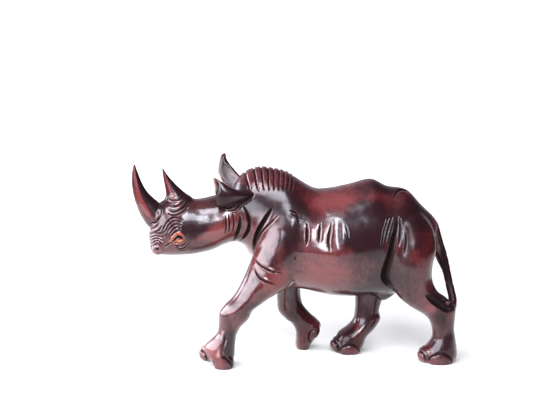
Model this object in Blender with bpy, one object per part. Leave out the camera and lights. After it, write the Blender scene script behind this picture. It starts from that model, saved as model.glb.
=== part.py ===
"""A walking two-horned rhinoceros, carved from one block of dark hardwood.

The figure faces -X, its left side faces -Y, and it stands on z = 0.
Each limb is a sweep whose ribs are laid out in the side view. The sweeps are fused,
their joins are filled, the folds are cut in, and the soles are sawn flat.
"""

import math

import bmesh
import bpy
import numpy as np

# The one driving size: from the front horn's leading edge to the back of the tail.
FIGURE_LENGTH = 0.220
# The tables below are laid out on a grid of 220 units along the figure. U is one unit.
U = FIGURE_LENGTH / 220

# How finely the fused wood is worked, and how many faces the finished solid keeps.
VOXEL = 0.62 * U
TRIANGLES = 8800
# How many sides a sweep has: the trunk, an ear, a limb or horn, and a slim piece.
TRUNK_SIDES, EAR_SIDES, LIMB_SIDES, SLIM_SIDES = 56, 28, 40, 20
# Rows worked out between two ribs, and between two points of a cut.
ROWS_BETWEEN_RIBS, ROWS_ALONG_CUT = 5, 4
# The creases between limb and trunk are filled wide, those of ears and toes narrow.
WIDE_FILL = 6.0
NARROW_FILL = 1.5
# Above this height the wide creases are filled whole, and below the lower one by this share.
FILLED_ABOVE, FILLED_LESS_BELOW = 54.0, 36.0
FILL_AT_FEET = 0.3

# The head is turned towards the figure's left about a plumb line through the poll.
HEAD_TURN = math.radians(10)
POLL = (-40.0, 0.0)

# Each rib of a sweep is (upper x, upper z, lower x, lower z, y, half width).
TRUNK = [
    (98.5, 91.8, 96.4, 83.0, 0, 3.0),
    (95.7, 96.0, 92.8, 73.6, 0, 11.0),
    (92.0, 99.9, 88.2, 64.0, 0, 17.0),
    (85.8, 105.8, 81.0, 54.0, 0, 22.5),
    (78.2, 114.0, 73.0, 46.5, 0, 26.0),
    (71.9, 116.8, 67.6, 44.3, 0, 27.5),
    (62.3, 118.3, 62.0, 43.8, 0, 28.0),
    (51.4, 123.0, 51.0, 43.4, 0, 28.5),
    (37.7, 119.9, 39.9, 42.7, 0, 30.0),
    (24.2, 117.2, 27.5, 43.1, 0, 31.5),
    (14.0, 117.0, 16.5, 45.3, 0, 31.5),
    (4.3, 122.1, 5.5, 47.9, 0, 30.0),
    (-5.4, 128.5, -5.5, 49.0, 0, 28.0),
    (-15.1, 130.8, -15.0, 51.0, 0, 25.5),
    (-22.0, 131.7, -23.0, 57.0, 0, 23.0),
    (-28.8, 130.6, -28.5, 67.0, 0, 20.5),
    (-34.8, 127.4, -34.1, 77.9, 0, 18.5),
    (-39.4, 121.8, -40.0, 81.4, 0, 17.5),
    (-45.0, 112.0, -46.0, 84.0, 0, 14.0),
]
HEAD = [
    (-33.0, 117.5, -33.0, 84.0, 0, 14.0),
    (-39.4, 117.4, -40.2, 81.3, 0, 17.0),
    (-46.8, 114.2, -49.0, 78.9, 0, 18.0),
    (-55.5, 112.1, -57.1, 75.6, 0, 17.0),
    (-64.9, 110.6, -66.6, 73.6, 0, 15.5),
    (-72.9, 111.2, -75.4, 72.9, 0, 14.5),
    (-81.3, 111.2, -83.5, 72.9, 0, 13.5),
    (-89.6, 109.8, -90.4, 73.5, 0, 12.5),
    (-95.1, 102.0, -94.2, 74.5, 0, 10.5),
    (-97.7, 92.0, -96.7, 77.4, 0, 7.5),
    (-98.3, 87.0, -97.9, 81.0, 0, 3.5),
]
FRONT_HORN = [
    (-94.0, 90.0, -86.0, 103.0, 0, 7.0),
    (-98.8, 92.5, -90.4, 107.4, 0, 7.4),
    (-103.8, 100.0, -93.0, 110.2, 0, 6.6),
    (-106.3, 106.0, -95.6, 112.4, 0, 5.8),
    (-108.0, 112.7, -98.9, 115.8, 0, 4.9),
    (-109.2, 119.5, -102.1, 120.8, 0, 3.8),
    (-109.4, 126.2, -104.4, 126.4, 0, 2.5),
    (-108.9, 131.4, -106.2, 131.5, 0, 1.5),
    (-108.1, 134.4, -107.0, 134.4, 0, 0.6),
]
REAR_HORN = [
    (-89.6, 103.5, -66.0, 105.0, 0, 8.5),
    (-88.4, 109.8, -69.0, 111.2, 0, 7.4),
    (-87.0, 113.6, -74.3, 115.2, 0, 5.6),
    (-87.5, 118.7, -79.6, 120.0, 0, 3.7),
    (-88.4, 124.1, -83.9, 124.7, 0, 2.1),
    (-89.0, 128.6, -87.0, 128.8, 0, 1.1),
    (-89.2, 131.2, -88.3, 131.2, 0, 0.6),
]
LEFT_FORELEG = [
    (-14.0, 112.0, 2.0, 108.0, -5, 8.0),
    (-20.0, 100.0, 6.0, 92.0, -12, 13.0),
    (-24.2, 86.0, 5.0, 74.0, -16, 13.8),
    (-30.5, 70.5, -2.0, 56.0, -18, 13.2),
    (-35.6, 58.5, -12.0, 49.6, -20, 11.8),
    (-41.2, 48.7, -21.4, 43.5, -21, 10.5),
    (-47.9, 41.7, -28.8, 37.9, -22, 10.0),
    (-51.6, 36.6, -32.2, 31.9, -22, 9.6),
    (-51.8, 29.5, -37.3, 26.4, -22, 8.2),
    (-53.1, 22.7, -40.1, 20.8, -22, 8.0),
    (-57.4, 18.2, -41.0, 14.6, -22, 9.2),
    (-61.6, 13.4, -41.2, 8.4, -21.5, 10.2),
    (-59.8, 7.8, -42.0, 4.0, -21.5, 10.4),
    (-54.8, 1.4, -43.0, 1.0, -22, 9.8),
    (-52.8, -4.0, -44.0, -4.0, -22, 8.0),
]
RIGHT_FORELEG = [
    (-14.0, 112.0, 2.0, 108.0, 5, 8.0),
    (-19.0, 100.0, 7.0, 92.0, 12, 13.0),
    (-17.0, 80.0, 11.0, 74.0, 16, 13.5),
    (-13.5, 62.0, 9.0, 58.0, 17, 12.5),
    (-11.0, 47.0, 6.0, 46.0, 18, 11.0),
    (-10.8, 36.9, 6.4, 36.7, 18, 10.0),
    (-9.9, 28.6, 8.3, 31.2, 18, 9.6),
    (-5.4, 22.8, 12.8, 26.0, 18, 9.2),
    (-0.4, 19.0, 20.2, 18.8, 18, 8.8),
    (2.6, 13.7, 19.2, 12.4, 19, 8.6),
    (3.0, 8.4, 16.8, 7.6, 20, 8.4),
    (2.6, 3.8, 14.0, 3.0, 21, 7.8),
    (3.2, 0.5, 13.2, 0.5, 21, 6.8),
    (5.0, -3.0, 11.0, -3.0, 21, 5.0),
]
LEFT_HINDLEG = [
    (68.0, 108.0, 84.0, 104.0, -4, 9.0),
    (64.4, 98.0, 92.0, 91.0, -12, 13.0),
    (62.8, 84.1, 94.0, 77.0, -16, 14.0),
    (61.6, 69.2, 91.7, 66.9, -17, 14.2),
    (64.0, 57.0, 91.6, 56.7, -17, 13.2),
    (67.6, 46.8, 95.0, 48.9, -17, 12.0),
    (75.9, 38.9, 100.2, 44.8, -17, 10.8),
    (86.0, 32.8, 107.4, 38.2, -17, 9.8),
    (90.5, 28.0, 107.8, 29.6, -17, 9.0),
    (92.5, 21.8, 107.3, 22.6, -17, 8.6),
    (92.0, 16.2, 108.3, 16.0, -17, 9.4),
    (88.4, 10.6, 109.3, 9.4, -17, 10.6),
    (86.2, 5.4, 109.5, 4.2, -17, 11.0),
    (86.4, 0.5, 108.3, 0.5, -17, 10.2),
    (88.0, -4.0, 105.0, -4.0, -17, 8.0),
]
RIGHT_HINDLEG = [
    (66.0, 108.0, 82.0, 104.0, 4, 9.0),
    (58.0, 98.0, 90.0, 91.0, 12, 13.0),
    (50.0, 78.0, 86.0, 70.0, 16, 14.0),
    (45.0, 58.0, 77.0, 54.0, 16, 13.5),
    (44.0, 45.0, 66.0, 43.0, 16, 11.5),
    (44.2, 35.0, 62.6, 34.6, 15, 9.8),
    (43.8, 28.4, 60.8, 28.2, 14, 9.2),
    (42.2, 22.0, 61.7, 22.6, 13, 9.0),
    (37.8, 17.6, 57.4, 16.0, 12, 9.2),
    (32.0, 13.4, 52.0, 10.6, 11, 10.0),
    (30.0, 8.6, 50.0, 5.6, 11, 10.6),
    (29.0, 4.4, 49.0, 3.0, 11, 10.8),
    (29.6, 0.5, 48.0, 0.5, 11, 10.0),
    (31.0, -4.0, 46.0, -4.0, 11, 8.0),
]
TAIL = [
    (95.0, 96.2, 91.8, 82.0, 0, 5.6),
    (98.6, 91.3, 94.4, 78.0, 0, 4.9),
    (101.2, 82.6, 95.6, 72.4, 0, 4.4),
    (103.9, 73.5, 97.8, 67.0, 0, 3.8),
    (106.4, 65.1, 100.4, 61.8, 0, 3.4),
    (108.2, 56.6, 102.9, 55.2, -1, 3.1),
    (109.6, 48.8, 104.4, 48.0, -3, 3.0),
    (111.0, 41.8, 105.4, 40.4, -6, 3.2),
    (110.6, 36.0, 104.6, 34.0, -9, 3.2),
    (109.0, 30.6, 102.6, 32.0, -11, 2.8),
]
# The wood left standing between the tail's tuft and the hock.
TAIL_BRIDGE = [
    (94.0, 47.0, 98.0, 36.0, -14, 4.0),
    (101.0, 43.4, 102.5, 34.5, -12.5, 3.6),
    (106.0, 39.4, 106.0, 31.0, -11, 3.2),
    (109.6, 38.2, 108.8, 31.5, -10, 2.6),
]
GROIN = [
    (54.0, 50.0, 54.0, 42.5, 0, 8.0),
    (61.0, 52.0, 60.0, 38.8, 0, 8.5),
    (68.0, 52.0, 65.4, 40.6, 0, 7.6),
    (74.0, 52.0, 71.6, 45.6, 0, 5.6),
]
# The left ear runs out from its root to the rim of its mouth, and back in down the hollow.
# The right ear is a solid leaf, and its hollow is scooped out of the side that faces left.
LEFT_EAR = [
    (-31.0, 116.8, -31.0, 108.0, -12, 4.0),
    (-36.0, 117.2, -36.5, 107.6, -15, 5.6),
    (-42.0, 118.8, -43.0, 107.0, -18, 6.6),
    (-48.2, 122.0, -49.0, 107.2, -20, 6.4),
    (-54.6, 126.8, -51.6, 108.4, -21, 4.8),
    (-52.4, 123.0, -50.6, 110.6, -20.5, 2.8),
    (-47.4, 118.8, -47.4, 110.8, -20, 3.2),
    (-42.0, 116.0, -42.2, 111.4, -18, 2.4),
]
RIGHT_EAR = [
    (-30.0, 120.0, -34.0, 110.0, 8, 4.6),
    (-35.6, 123.6, -40.0, 113.0, 10, 5.0),
    (-39.3, 127.4, -45.9, 117.2, 11.5, 4.6),
    (-42.1, 130.5, -50.1, 122.4, 12.5, 4.0),
    (-44.1, 133.0, -51.6, 126.8, 13, 3.3),
    (-45.4, 135.4, -51.0, 131.4, 13, 2.6),
    (-45.8, 137.6, -50.2, 135.6, 13, 1.9),
    (-46.2, 139.6, -49.0, 138.8, 13, 1.1),
]
# Each ball is (x, z, y, radius along x, radius along z, radius along y).
TOES = [
    (-57.5, 8.4, -19.4, 7.8, 6.4, 7.2),
    (-48.8, 3.6, -26.4, 7.0, 7.0, 5.8),
    (-49.0, 3.6, -15.8, 7.0, 6.8, 5.2),
    (90.0, 5.0, -18.0, 7.6, 6.6, 7.4),
    (97.2, 3.4, -23.2, 9.4, 7.0, 5.6),
    (97.2, 3.4, -10.8, 8.8, 6.6, 5.0),
    (33.8, 5.2, 10.4, 7.6, 6.4, 7.4),
    (39.2, 3.4, 4.6, 8.0, 6.4, 5.4),
    (39.2, 3.4, 17.4, 8.0, 6.4, 5.4),
    (13.8, 15.4, 14.6, 5.8, 7.6, 5.0),
    (13.8, 15.4, 24.6, 5.8, 7.6, 5.0),
    (8.0, 5.2, 21.0, 5.4, 6.0, 7.0),
]
EYEBALLS = [(-80.9, 86.6, side * 11.2, 3.2, 2.6, 3.2) for side in (-1, 1)]
UPPER_LIP = (-92.8, 80.2, 0.0, 5.2, 6.8, 8.2)


LEFT, RIGHT, BOTH = (-1,), (1,), (-1, 1)
# At its two ends a cut keeps this share of its width.
CUT_END_WIDTH = 0.35
# A cut fades out where the wood turns away from its side, and near the middle plane.
CUT_FACING = (-0.05, 0.3)
CUT_FROM_MIDDLE = (0.5, 3.0)
# Each cut is (points (x, z) in the side view, half width, depth, sides).
RIB_CUTS = [([(x, 98.0), (x - 0.8, 91.0), (x, 83.5)], 1.5, 1.9, BOTH) for x in (6.5, 14.0, 21.3)]
BODY_CUTS = RIB_CUTS + [
    ([(-16.5, 106.0), (-21.0, 97.5), (-25.5, 90.5), (-28.0, 83.0), (-28.8, 77.0)], 1.4, 2.4, BOTH),
    ([(-12.5, 102.0), (-19.0, 96.0), (-24.0, 88.5), (-27.0, 79.0)], 0.9, 1.2, BOTH),
    ([(-26.0, 71.0), (-22.0, 67.3), (-17.0, 65.7), (-8.0, 64.7)], 0.8, 1.2, BOTH),
    ([(-25.5, 67.5), (-19.5, 63.0), (-13.5, 61.6)], 0.8, 1.2, LEFT),
    ([(-29.5, 69.0), (-27.0, 64.3), (-23.4, 60.8), (-15.0, 58.2)], 0.9, 1.4, LEFT),
    ([(-5.5, 106.0), (0.0, 104.0), (4.0, 98.5)], 0.9, 1.2, BOTH),
    ([(-5.0, 102.7), (2.5, 97.0)], 0.9, 1.0, BOTH),
    ([(31.0, 94.0), (31.0, 86.0)], 1.0, 0.6, LEFT),
    ([(66.5, 100.0), (64.0, 91.5), (61.0, 80.5), (58.5, 68.5), (57.5, 59.0), (61.0, 52.0)],
     2.4, 3.8, LEFT),
    ([(59.5, 100.5), (56.5, 93.0), (55.0, 85.0)], 0.8, 1.0, LEFT),
    ([(62.8, 100.5), (59.5, 92.0), (57.5, 83.0)], 0.8, 1.1, LEFT),
    ([(69.8, 99.5), (69.6, 91.0), (68.8, 82.0)], 1.1, 1.3, LEFT),
    ([(72.6, 92.5), (72.8, 86.0), (72.2, 79.0)], 0.9, 1.0, LEFT),
    ([(60.5, 100.0), (54.0, 88.0), (46.5, 72.0), (42.0, 60.0), (41.0, 52.0)], 2.2, 3.4, RIGHT),
    ([(64.0, 97.0), (60.0, 88.0), (56.0, 79.0)], 0.9, 1.1, RIGHT),
]
CHEEK_CUTS = [
    ([(x, 101.0), (x + 0.9, 95.5), (x - 0.4, 90.0)], 0.7, 0.9, BOTH) for x in (-50.6, -48.0, -45.2)
]
HEAD_CUTS = CHEEK_CUTS + [
    ([(-41.6, 101.0), (-39.6, 93.0), (-43.0, 84.5)], 1.4, 1.8, BOTH),
    ([(-38.8, 107.0), (-35.6, 98.0), (-36.4, 90.0), (-40.0, 84.0)], 1.6, 2.3, BOTH),
    ([(-52.0, 106.4), (-45.0, 105.8), (-38.8, 108.6)], 0.8, 0.9, BOTH),
    ([(-97.6, 93.4), (-94.4, 97.0), (-91.4, 103.0)], 0.9, 1.0, BOTH),
    ([(-89.4, 92.8), (-87.3, 97.4), (-83.3, 99.8), (-78.8, 97.9)], 0.7, 0.8, BOTH),
    ([(-87.4, 90.6), (-84.4, 95.0), (-81.0, 94.4), (-77.6, 91.0)], 0.7, 0.8, BOTH),
    ([(-85.4, 84.6), (-82.6, 88.8), (-80.6, 89.6), (-76.4, 86.0)], 0.8, 1.0, BOTH),
    ([(-85.4, 84.6), (-80.6, 83.0), (-76.4, 86.0)], 0.7, 0.9, BOTH),
    ([(-82.6, 81.4), (-77.6, 80.4), (-73.2, 83.8)], 0.7, 0.7, BOTH),
    ([(-94.6, 79.0), (-91.0, 81.4), (-87.5, 82.7), (-85.4, 84.6)], 0.8, 1.0, BOTH),
    ([(-97.4, 84.6), (-95.0, 86.6), (-92.0, 84.4)], 0.7, 0.7, BOTH),
    ([(-97.6, 88.8), (-95.0, 90.6), (-91.6, 88.6)], 0.7, 0.7, BOTH),
]
# The creases under the rear horn are the lower parts of ovals that grow downwards.
HEAD_CUTS += [([(-86.2 - g, 111.4 - 3 * g), (-83.0, 109.4 - 3.6 * g), (-76.0 + g, 111.6 - 2 * g)],
               0.7, 0.8, BOTH) for g in (0.0, 1.0, 2.0)]
# The hollow of the right ear faces left, and lies only in the wood on the right of this plane.
EAR_HOLLOW = [(-37.8, 118.3), (-42.6, 122.3), (-46.1, 126.5), (-47.9, 129.9), (-48.2, 133.4),
              (-48.0, 136.6)]
EAR_HOLLOW_WIDTH, EAR_HOLLOW_DEPTH = 4.2, 2.8
EAR_HOLLOW_FROM = (4.0, 6.0)
# The crest is scored by lines that fan out from a point inside the chest.
CREST_FAN = (-17.8, 70.0)
CREST_FIRST, CREST_LAST = math.radians(-15.2), math.radians(18.0)
CREST_LINES = 9
CREST_DEPTH = 1.3
# Over 1, the lines crowd together towards the back. Under 1, the lobes between are fuller.
CREST_CROWDING, CREST_LOBE = 1.3, 0.6
# The lines start at the foot, are at full depth this much higher, and fade out down the sides.
CREST_FOOT, CREST_RISE = 116.5, 6.0
CREST_SIDES = (12.0, 17.0)
# The share of the fan over which its first and last lines run out.
CREST_RUN_OUT = 0.03


def spread(stations, spans):
    """Rows between the given ones, on a Catmull-Rom curve through them, as an array."""
    rows = np.array(stations, float)
    ends = np.vstack([2 * rows[0] - rows[1], rows, 2 * rows[-1] - rows[-2]])
    t = np.linspace(0, 1, spans, endpoint=False)[:, None]
    parts = []
    for a, b, c, d in zip(ends, ends[1:], ends[2:], ends[3:]):
        parts.append(
            0.5 * (2 * b + (c - a) * t + (2 * a - 5 * b + 4 * c - d) * t**2
                   + (3 * b - a - 3 * c + d) * t**3)
        )
    return np.vstack(parts + [rows[-1:]])


def turn(points, angle):
    """Turns points about the plumb line through the poll."""
    c, s = math.cos(angle), math.sin(angle)
    x, y = points[..., 0] - POLL[0], points[..., 1] - POLL[1]
    return np.stack([POLL[0] + c * x - s * y, POLL[1] + s * x + c * y, points[..., 2]], axis=-1)


def sweep(stations, sides=LIMB_SIDES, widest=0.5, ridge=1.0, keel=1.0, shears=(0.0, 0.0),
          on_head=False):
    """Vertices and faces of one closed sweep.

    A rib is a rounded section from its upper to its lower point, broadest at the share
    widest of the way down. ridge and keel over 1 sharpen its two ends. The shears set its
    left half back, at the top and at the foot, by that share of the half width.
    """
    ribs = spread(stations, ROWS_BETWEEN_RIBS)
    angle = np.linspace(0, 2 * math.pi, sides, endpoint=False)
    rise = np.cos(angle)
    down = np.where(rise > 0, widest * (1 - rise), widest - (1 - widest) * rise)
    power = np.where(rise > 0, ridge, keel)
    across = np.sign(np.sin(angle)) * np.abs(np.sin(angle)) ** power
    upper, lower = ribs[:, None, 0:2], ribs[:, None, 2:4]
    outline = upper + (lower - upper) * down[None, :, None]
    aside = np.maximum(ribs[:, 5:6], 0.2) * across[None, :]
    top_shear, foot_shear = shears
    shear = foot_shear + (top_shear - foot_shear) * (1 + rise) / 2
    set_back = shear[None, :] * np.maximum(-aside, 0)
    points = np.stack([outline[..., 0] + set_back, ribs[:, 4:5] + aside, outline[..., 1]], axis=-1)
    return closed_grid(turn(points, HEAD_TURN) if on_head else points)


def ball(x, z, y, along, up, out, on_head=False, sides=SLIM_SIDES):
    """Vertices and faces of an egg about (x, y, z)."""
    down = np.linspace(0, math.pi, sides // 2 + 1)[1:-1, None]
    round_ = np.linspace(0, 2 * math.pi, sides, endpoint=False)[None, :]
    points = np.stack(
        [
            x + along * np.sin(down) * np.cos(round_),
            y + out * np.sin(down) * np.sin(round_),
            z + up * np.cos(down) * np.ones_like(round_),
        ],
        axis=-1,
    )
    return closed_grid(turn(points, HEAD_TURN) if on_head else points)


def closed_grid(points):
    """A tube of quads over a grid of rings, with a fan of triangles at each end."""
    rings, sides = points.shape[:2]
    caps = points[[0, -1]].mean(axis=1)
    vertices = np.vstack([points.reshape(-1, 3), caps]) * U
    step = [(j, (j + 1) % sides) for j in range(sides)]
    faces = [
        (i * sides + j, i * sides + k, (i + 1) * sides + k, (i + 1) * sides + j)
        for i in range(rings - 1)
        for j, k in step
    ]
    last = (rings - 1) * sides
    faces += [(rings * sides, k, j) for j, k in step]
    faces += [(rings * sides + 1, last + j, last + k) for j, k in step]
    return vertices, faces


def joined(solids):
    """One mesh that holds all the closed solids, each with its faces outwards."""
    bm = bmesh.new()
    for vertices, faces in solids:
        made = [bm.verts.new(v) for v in vertices]
        for face in faces:
            bm.faces.new([made[i] for i in face])
    bmesh.ops.recalc_face_normals(bm, faces=bm.faces)
    mesh = bpy.data.meshes.new("solids")
    bm.to_mesh(mesh)
    bm.free()
    return mesh


def add_to(obj, mesh):
    """Adds the mesh's faces to the object's own mesh."""
    bm = bmesh.new()
    bm.from_mesh(obj.data)
    bm.from_mesh(mesh)
    bm.to_mesh(obj.data)
    bm.free()


def worked(obj, kind, **settings):
    """Applies one modifier to the object for good."""
    modifier = obj.modifiers.new(kind.lower(), kind)
    for name, value in settings.items():
        setattr(modifier, name, value)
    graph = bpy.context.evaluated_depsgraph_get()
    mesh = bpy.data.meshes.new_from_object(obj.evaluated_get(graph))
    obj.modifiers.clear()
    obj.data = mesh


def vectors(mesh, name):
    """The mesh's vertex positions ("co") or normals ("normal"), as an array."""
    flat = np.empty(len(mesh.vertices) * 3, np.float32)
    mesh.vertices.foreach_get(name, flat)
    return flat.reshape(-1, 3).astype(float)


def put(mesh, places):
    """Moves the mesh's vertices to the given places."""
    mesh.vertices.foreach_set("co", places.astype(np.float32).ravel())
    mesh.update()


def ramp(value, start, end):
    """0 before start, 1 after end, and a smooth rise between them."""
    t = np.clip((value - start) / (end - start), 0, 1)
    return t * t * (3 - 2 * t)


def fill_creases(obj, reach, at_feet=1.0):
    """Fills the hollows between limbs over about the given reach, and the feet less.

    The mesh is smoothed, and each point keeps only its outward part of that move, so
    creases fill while ridges and thin ends keep their size.
    """
    before, outward = vectors(obj.data, "co"), vectors(obj.data, "normal")
    rounds = round(4 * (reach * U / VOXEL) ** 2)
    worked(obj, "SMOOTH", factor=0.5, iterations=rounds)
    move = ((vectors(obj.data, "co") - before) * outward).sum(axis=1)
    share = at_feet + (1 - at_feet) * ramp(before[:, 2] / U, FILLED_LESS_BELOW, FILLED_ABOVE)
    put(obj.data, before + outward * (np.maximum(move, 0) * share)[:, None])


def nearest_on(path, x, z):
    """Distance from each (x, z) to a path, and the share of the path where it is nearest."""
    line = spread(path, ROWS_ALONG_CUT)
    best = np.full(len(x), 1e9)
    share = np.zeros(len(x))
    for i in range(len(line) - 1):
        (ax, az), (bx, bz) = line[i], line[i + 1]
        dx, dz = bx - ax, bz - az
        t = np.clip(((x - ax) * dx + (z - az) * dz) / (dx * dx + dz * dz), 0, 1)
        gap = np.hypot(x - ax - t * dx, z - az - t * dz)
        closer = gap < best
        best = np.where(closer, gap, best)
        share = np.where(closer, (i + t) / (len(line) - 1), share)
    return best, share


def cut_depth(path, half_width, depth, x, z):
    """A knife cut along the path, deepest mid-way and running out at both ends."""
    away, share = nearest_on(path, x, z)
    taper = np.sqrt(np.maximum(np.sin(math.pi * np.clip(share, 0.02, 0.98)), 0))
    width = half_width * (CUT_END_WIDTH + (1 - CUT_END_WIDTH) * taper)
    return depth * taper * np.exp(-((away / width) ** 2))


def crest_depth(x, y, z):
    """Scallops along the crest: sharp lines, closer towards the back, with round lobes between."""
    angle = np.arctan2(x - CREST_FAN[0], z - CREST_FAN[1])
    share = (angle - CREST_FIRST) / (CREST_LAST - CREST_FIRST)
    line = (CREST_LINES - 1) * np.clip(share, 0, 1) ** CREST_CROWDING
    lobe = np.abs(np.sin(math.pi * line)) ** CREST_LOBE
    inside = ramp(share, -CREST_RUN_OUT, 0.0) * (1 - ramp(share, 1.0, 1 + CREST_RUN_OUT))
    band = ramp(z, CREST_FOOT, CREST_FOOT + CREST_RISE) * (1 - ramp(np.abs(y), *CREST_SIDES))
    return CREST_DEPTH * (1 - lobe) * inside * band


def carve(obj):
    """Cuts the folds and the crest into the wood, square to its surface."""
    places, outward = vectors(obj.data, "co") / U, vectors(obj.data, "normal")
    on_head = turn(places, -HEAD_TURN)
    depth = crest_depth(*places.T)
    for cuts, spot in ((BODY_CUTS, places), (HEAD_CUTS, on_head)):
        x, y, z = spot.T
        for path, half_width, deep, sides in cuts:
            for side in sides:
                facing = ramp(side * outward[:, 1], *CUT_FACING) * ramp(side * y, *CUT_FROM_MIDDLE)
                near = np.nonzero(facing)[0]
                cut = cut_depth(path, half_width, deep, x[near], z[near]) * facing[near]
                depth[near] = np.maximum(depth[near], cut)
    x, y, z = places.T
    facing = ramp(-outward[:, 1], *CUT_FACING) * ramp(y, *EAR_HOLLOW_FROM)
    near = np.nonzero(facing)[0]
    scoop = cut_depth(EAR_HOLLOW, EAR_HOLLOW_WIDTH, EAR_HOLLOW_DEPTH, x[near], z[near])
    depth[near] = np.maximum(depth[near], scoop * facing[near])
    put(obj.data, (places - outward * depth[:, None]) * U)


def saw_soles(obj):
    """Cuts the feet off flat on z = 0 and closes each sole."""
    bm = bmesh.new()
    bm.from_mesh(obj.data)
    everything = bm.verts[:] + bm.edges[:] + bm.faces[:]
    bmesh.ops.bisect_plane(bm, geom=everything, plane_no=(0, 0, 1), clear_inner=True)
    rims = [edge for edge in bm.edges if edge.is_boundary]
    soles = bmesh.ops.holes_fill(bm, edges=rims)["faces"]
    for sole in soles:
        for vertex in sole.verts:
            vertex.co.z = 0.0
    bmesh.ops.triangulate(bm, faces=soles)
    bmesh.ops.recalc_face_normals(bm, faces=bm.faces)
    bm.to_mesh(obj.data)
    bm.free()


def centre(obj):
    """Moves the figure so that the middle of its box stands over the origin."""
    places = vectors(obj.data, "co")
    middle = (places.min(axis=0) + places.max(axis=0)) / 2
    put(obj.data, places - (middle[0], middle[1], 0))


def lacquered_wood():
    """Dark red-brown wood under a clear gloss lacquer."""
    material = bpy.data.materials.new("lacquered hardwood")
    material.use_nodes = True
    shader = material.node_tree.nodes["Principled BSDF"]
    shader.inputs["Base Color"].default_value = (0.075, 0.020, 0.014, 1)
    shader.inputs["Roughness"].default_value = 0.28
    shader.inputs["Metallic"].default_value = 0.0
    return material


def main():
    for obj in list(bpy.data.objects):
        bpy.data.objects.remove(obj)
    trunk_and_limbs = [
        sweep(TRUNK, sides=TRUNK_SIDES, widest=0.56, ridge=1.25, keel=0.95),
        sweep(HEAD, widest=0.55, ridge=0.9, keel=0.95, on_head=True),
        sweep(LEFT_FORELEG),
        sweep(RIGHT_FORELEG),
        sweep(LEFT_HINDLEG),
        sweep(RIGHT_HINDLEG),
        sweep(GROIN, sides=SLIM_SIDES),
    ]
    additions = [
        sweep(FRONT_HORN, on_head=True),
        sweep(REAR_HORN, on_head=True),
        sweep(LEFT_EAR, sides=EAR_SIDES, ridge=1.2, shears=(1.5, -0.4)),
        sweep(RIGHT_EAR, sides=EAR_SIDES),
        sweep(TAIL, sides=SLIM_SIDES),
        sweep(TAIL_BRIDGE, sides=SLIM_SIDES),
        ball(*UPPER_LIP, on_head=True),
    ]
    additions += [ball(*toe) for toe in TOES]
    additions += [ball(*eye, on_head=True) for eye in EYEBALLS]
    figure = bpy.data.objects.new("rhinoceros", joined(trunk_and_limbs))
    bpy.context.scene.collection.objects.link(figure)
    worked(figure, "REMESH", mode="VOXEL", voxel_size=VOXEL)
    fill_creases(figure, WIDE_FILL, at_feet=FILL_AT_FEET)
    add_to(figure, joined(additions))
    worked(figure, "REMESH", mode="VOXEL", voxel_size=VOXEL)
    fill_creases(figure, NARROW_FILL)
    carve(figure)
    worked(figure, "DECIMATE", ratio=TRIANGLES / (2 * len(figure.data.polygons)))
    saw_soles(figure)
    centre(figure)
    figure.data.materials.append(lacquered_wood())
    figure.data.shade_smooth()


main()
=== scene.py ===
# %% [markdown]
# # A walking rhinoceros, carved and lacquered
# The real piece is one block of dark hardwood. A carver roughs out the animal, rounds it, cuts the
# folds of its hide with a small V-gouge, stains it and brushes on a clear gloss lacquer.
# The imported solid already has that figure's outline, pose and main folds. This lesson builds the
# same figure again at a finer pitch, cuts the fine relief into it, and gives it its finish.
# One object is made and it takes the place of the solid, because the carving is one piece of wood.

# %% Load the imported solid
import math

import bmesh
import bpy
import numpy as np
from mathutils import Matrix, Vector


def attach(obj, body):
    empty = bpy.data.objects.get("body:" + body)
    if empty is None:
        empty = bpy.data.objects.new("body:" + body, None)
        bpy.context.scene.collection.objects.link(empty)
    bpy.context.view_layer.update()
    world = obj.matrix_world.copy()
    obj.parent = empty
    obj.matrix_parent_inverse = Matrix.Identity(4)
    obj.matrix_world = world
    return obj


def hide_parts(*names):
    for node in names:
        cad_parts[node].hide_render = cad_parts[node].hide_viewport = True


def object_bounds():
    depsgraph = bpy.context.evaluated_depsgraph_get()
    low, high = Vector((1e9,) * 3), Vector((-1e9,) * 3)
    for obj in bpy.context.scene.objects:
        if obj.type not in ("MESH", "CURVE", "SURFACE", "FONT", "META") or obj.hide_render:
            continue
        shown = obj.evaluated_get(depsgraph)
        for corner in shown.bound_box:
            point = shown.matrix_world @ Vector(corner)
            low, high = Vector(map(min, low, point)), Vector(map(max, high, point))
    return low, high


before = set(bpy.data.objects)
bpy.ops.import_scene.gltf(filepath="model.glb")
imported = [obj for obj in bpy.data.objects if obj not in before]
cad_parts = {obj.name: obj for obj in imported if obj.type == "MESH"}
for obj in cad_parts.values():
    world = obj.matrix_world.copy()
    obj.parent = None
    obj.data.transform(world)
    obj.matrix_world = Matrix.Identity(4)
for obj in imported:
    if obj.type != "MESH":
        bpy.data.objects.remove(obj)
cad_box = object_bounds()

MM = 0.001
print("solid's box in mm:", [[round(float(v) / MM, 1) for v in corner] for corner in cad_box])

# %% [markdown]
# ## How finely to work
# A carving this small shows its knife cuts at about half a millimetre, so the wood is worked on a
# mesh a little finer than that. The limbs are first fused on a coarser mesh, which is enough for
# them and much quicker.
# The mesh is thinned at the end, where flat areas give up their points and the cuts keep theirs.

# %% Set the pitch of the mesh
ROUGH_PITCH = 0.62
FINE_PITCH = 0.40
KEPT_TRIANGLES = 192_000
print("fine pitch", FINE_PITCH, "mm, triangles kept", KEPT_TRIANGLES)

# %% [markdown]
# ## Smooth rows from a few ribs
# A boat builder sets up a few ribs and bends planks over them. Here a limb is a handful of ribs
# laid out in the side view, and a Catmull-Rom curve is the plank: it passes through every rib and
# leaves each one without a kink. Few numbers then give a smooth limb that is easy to correct.

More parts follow.
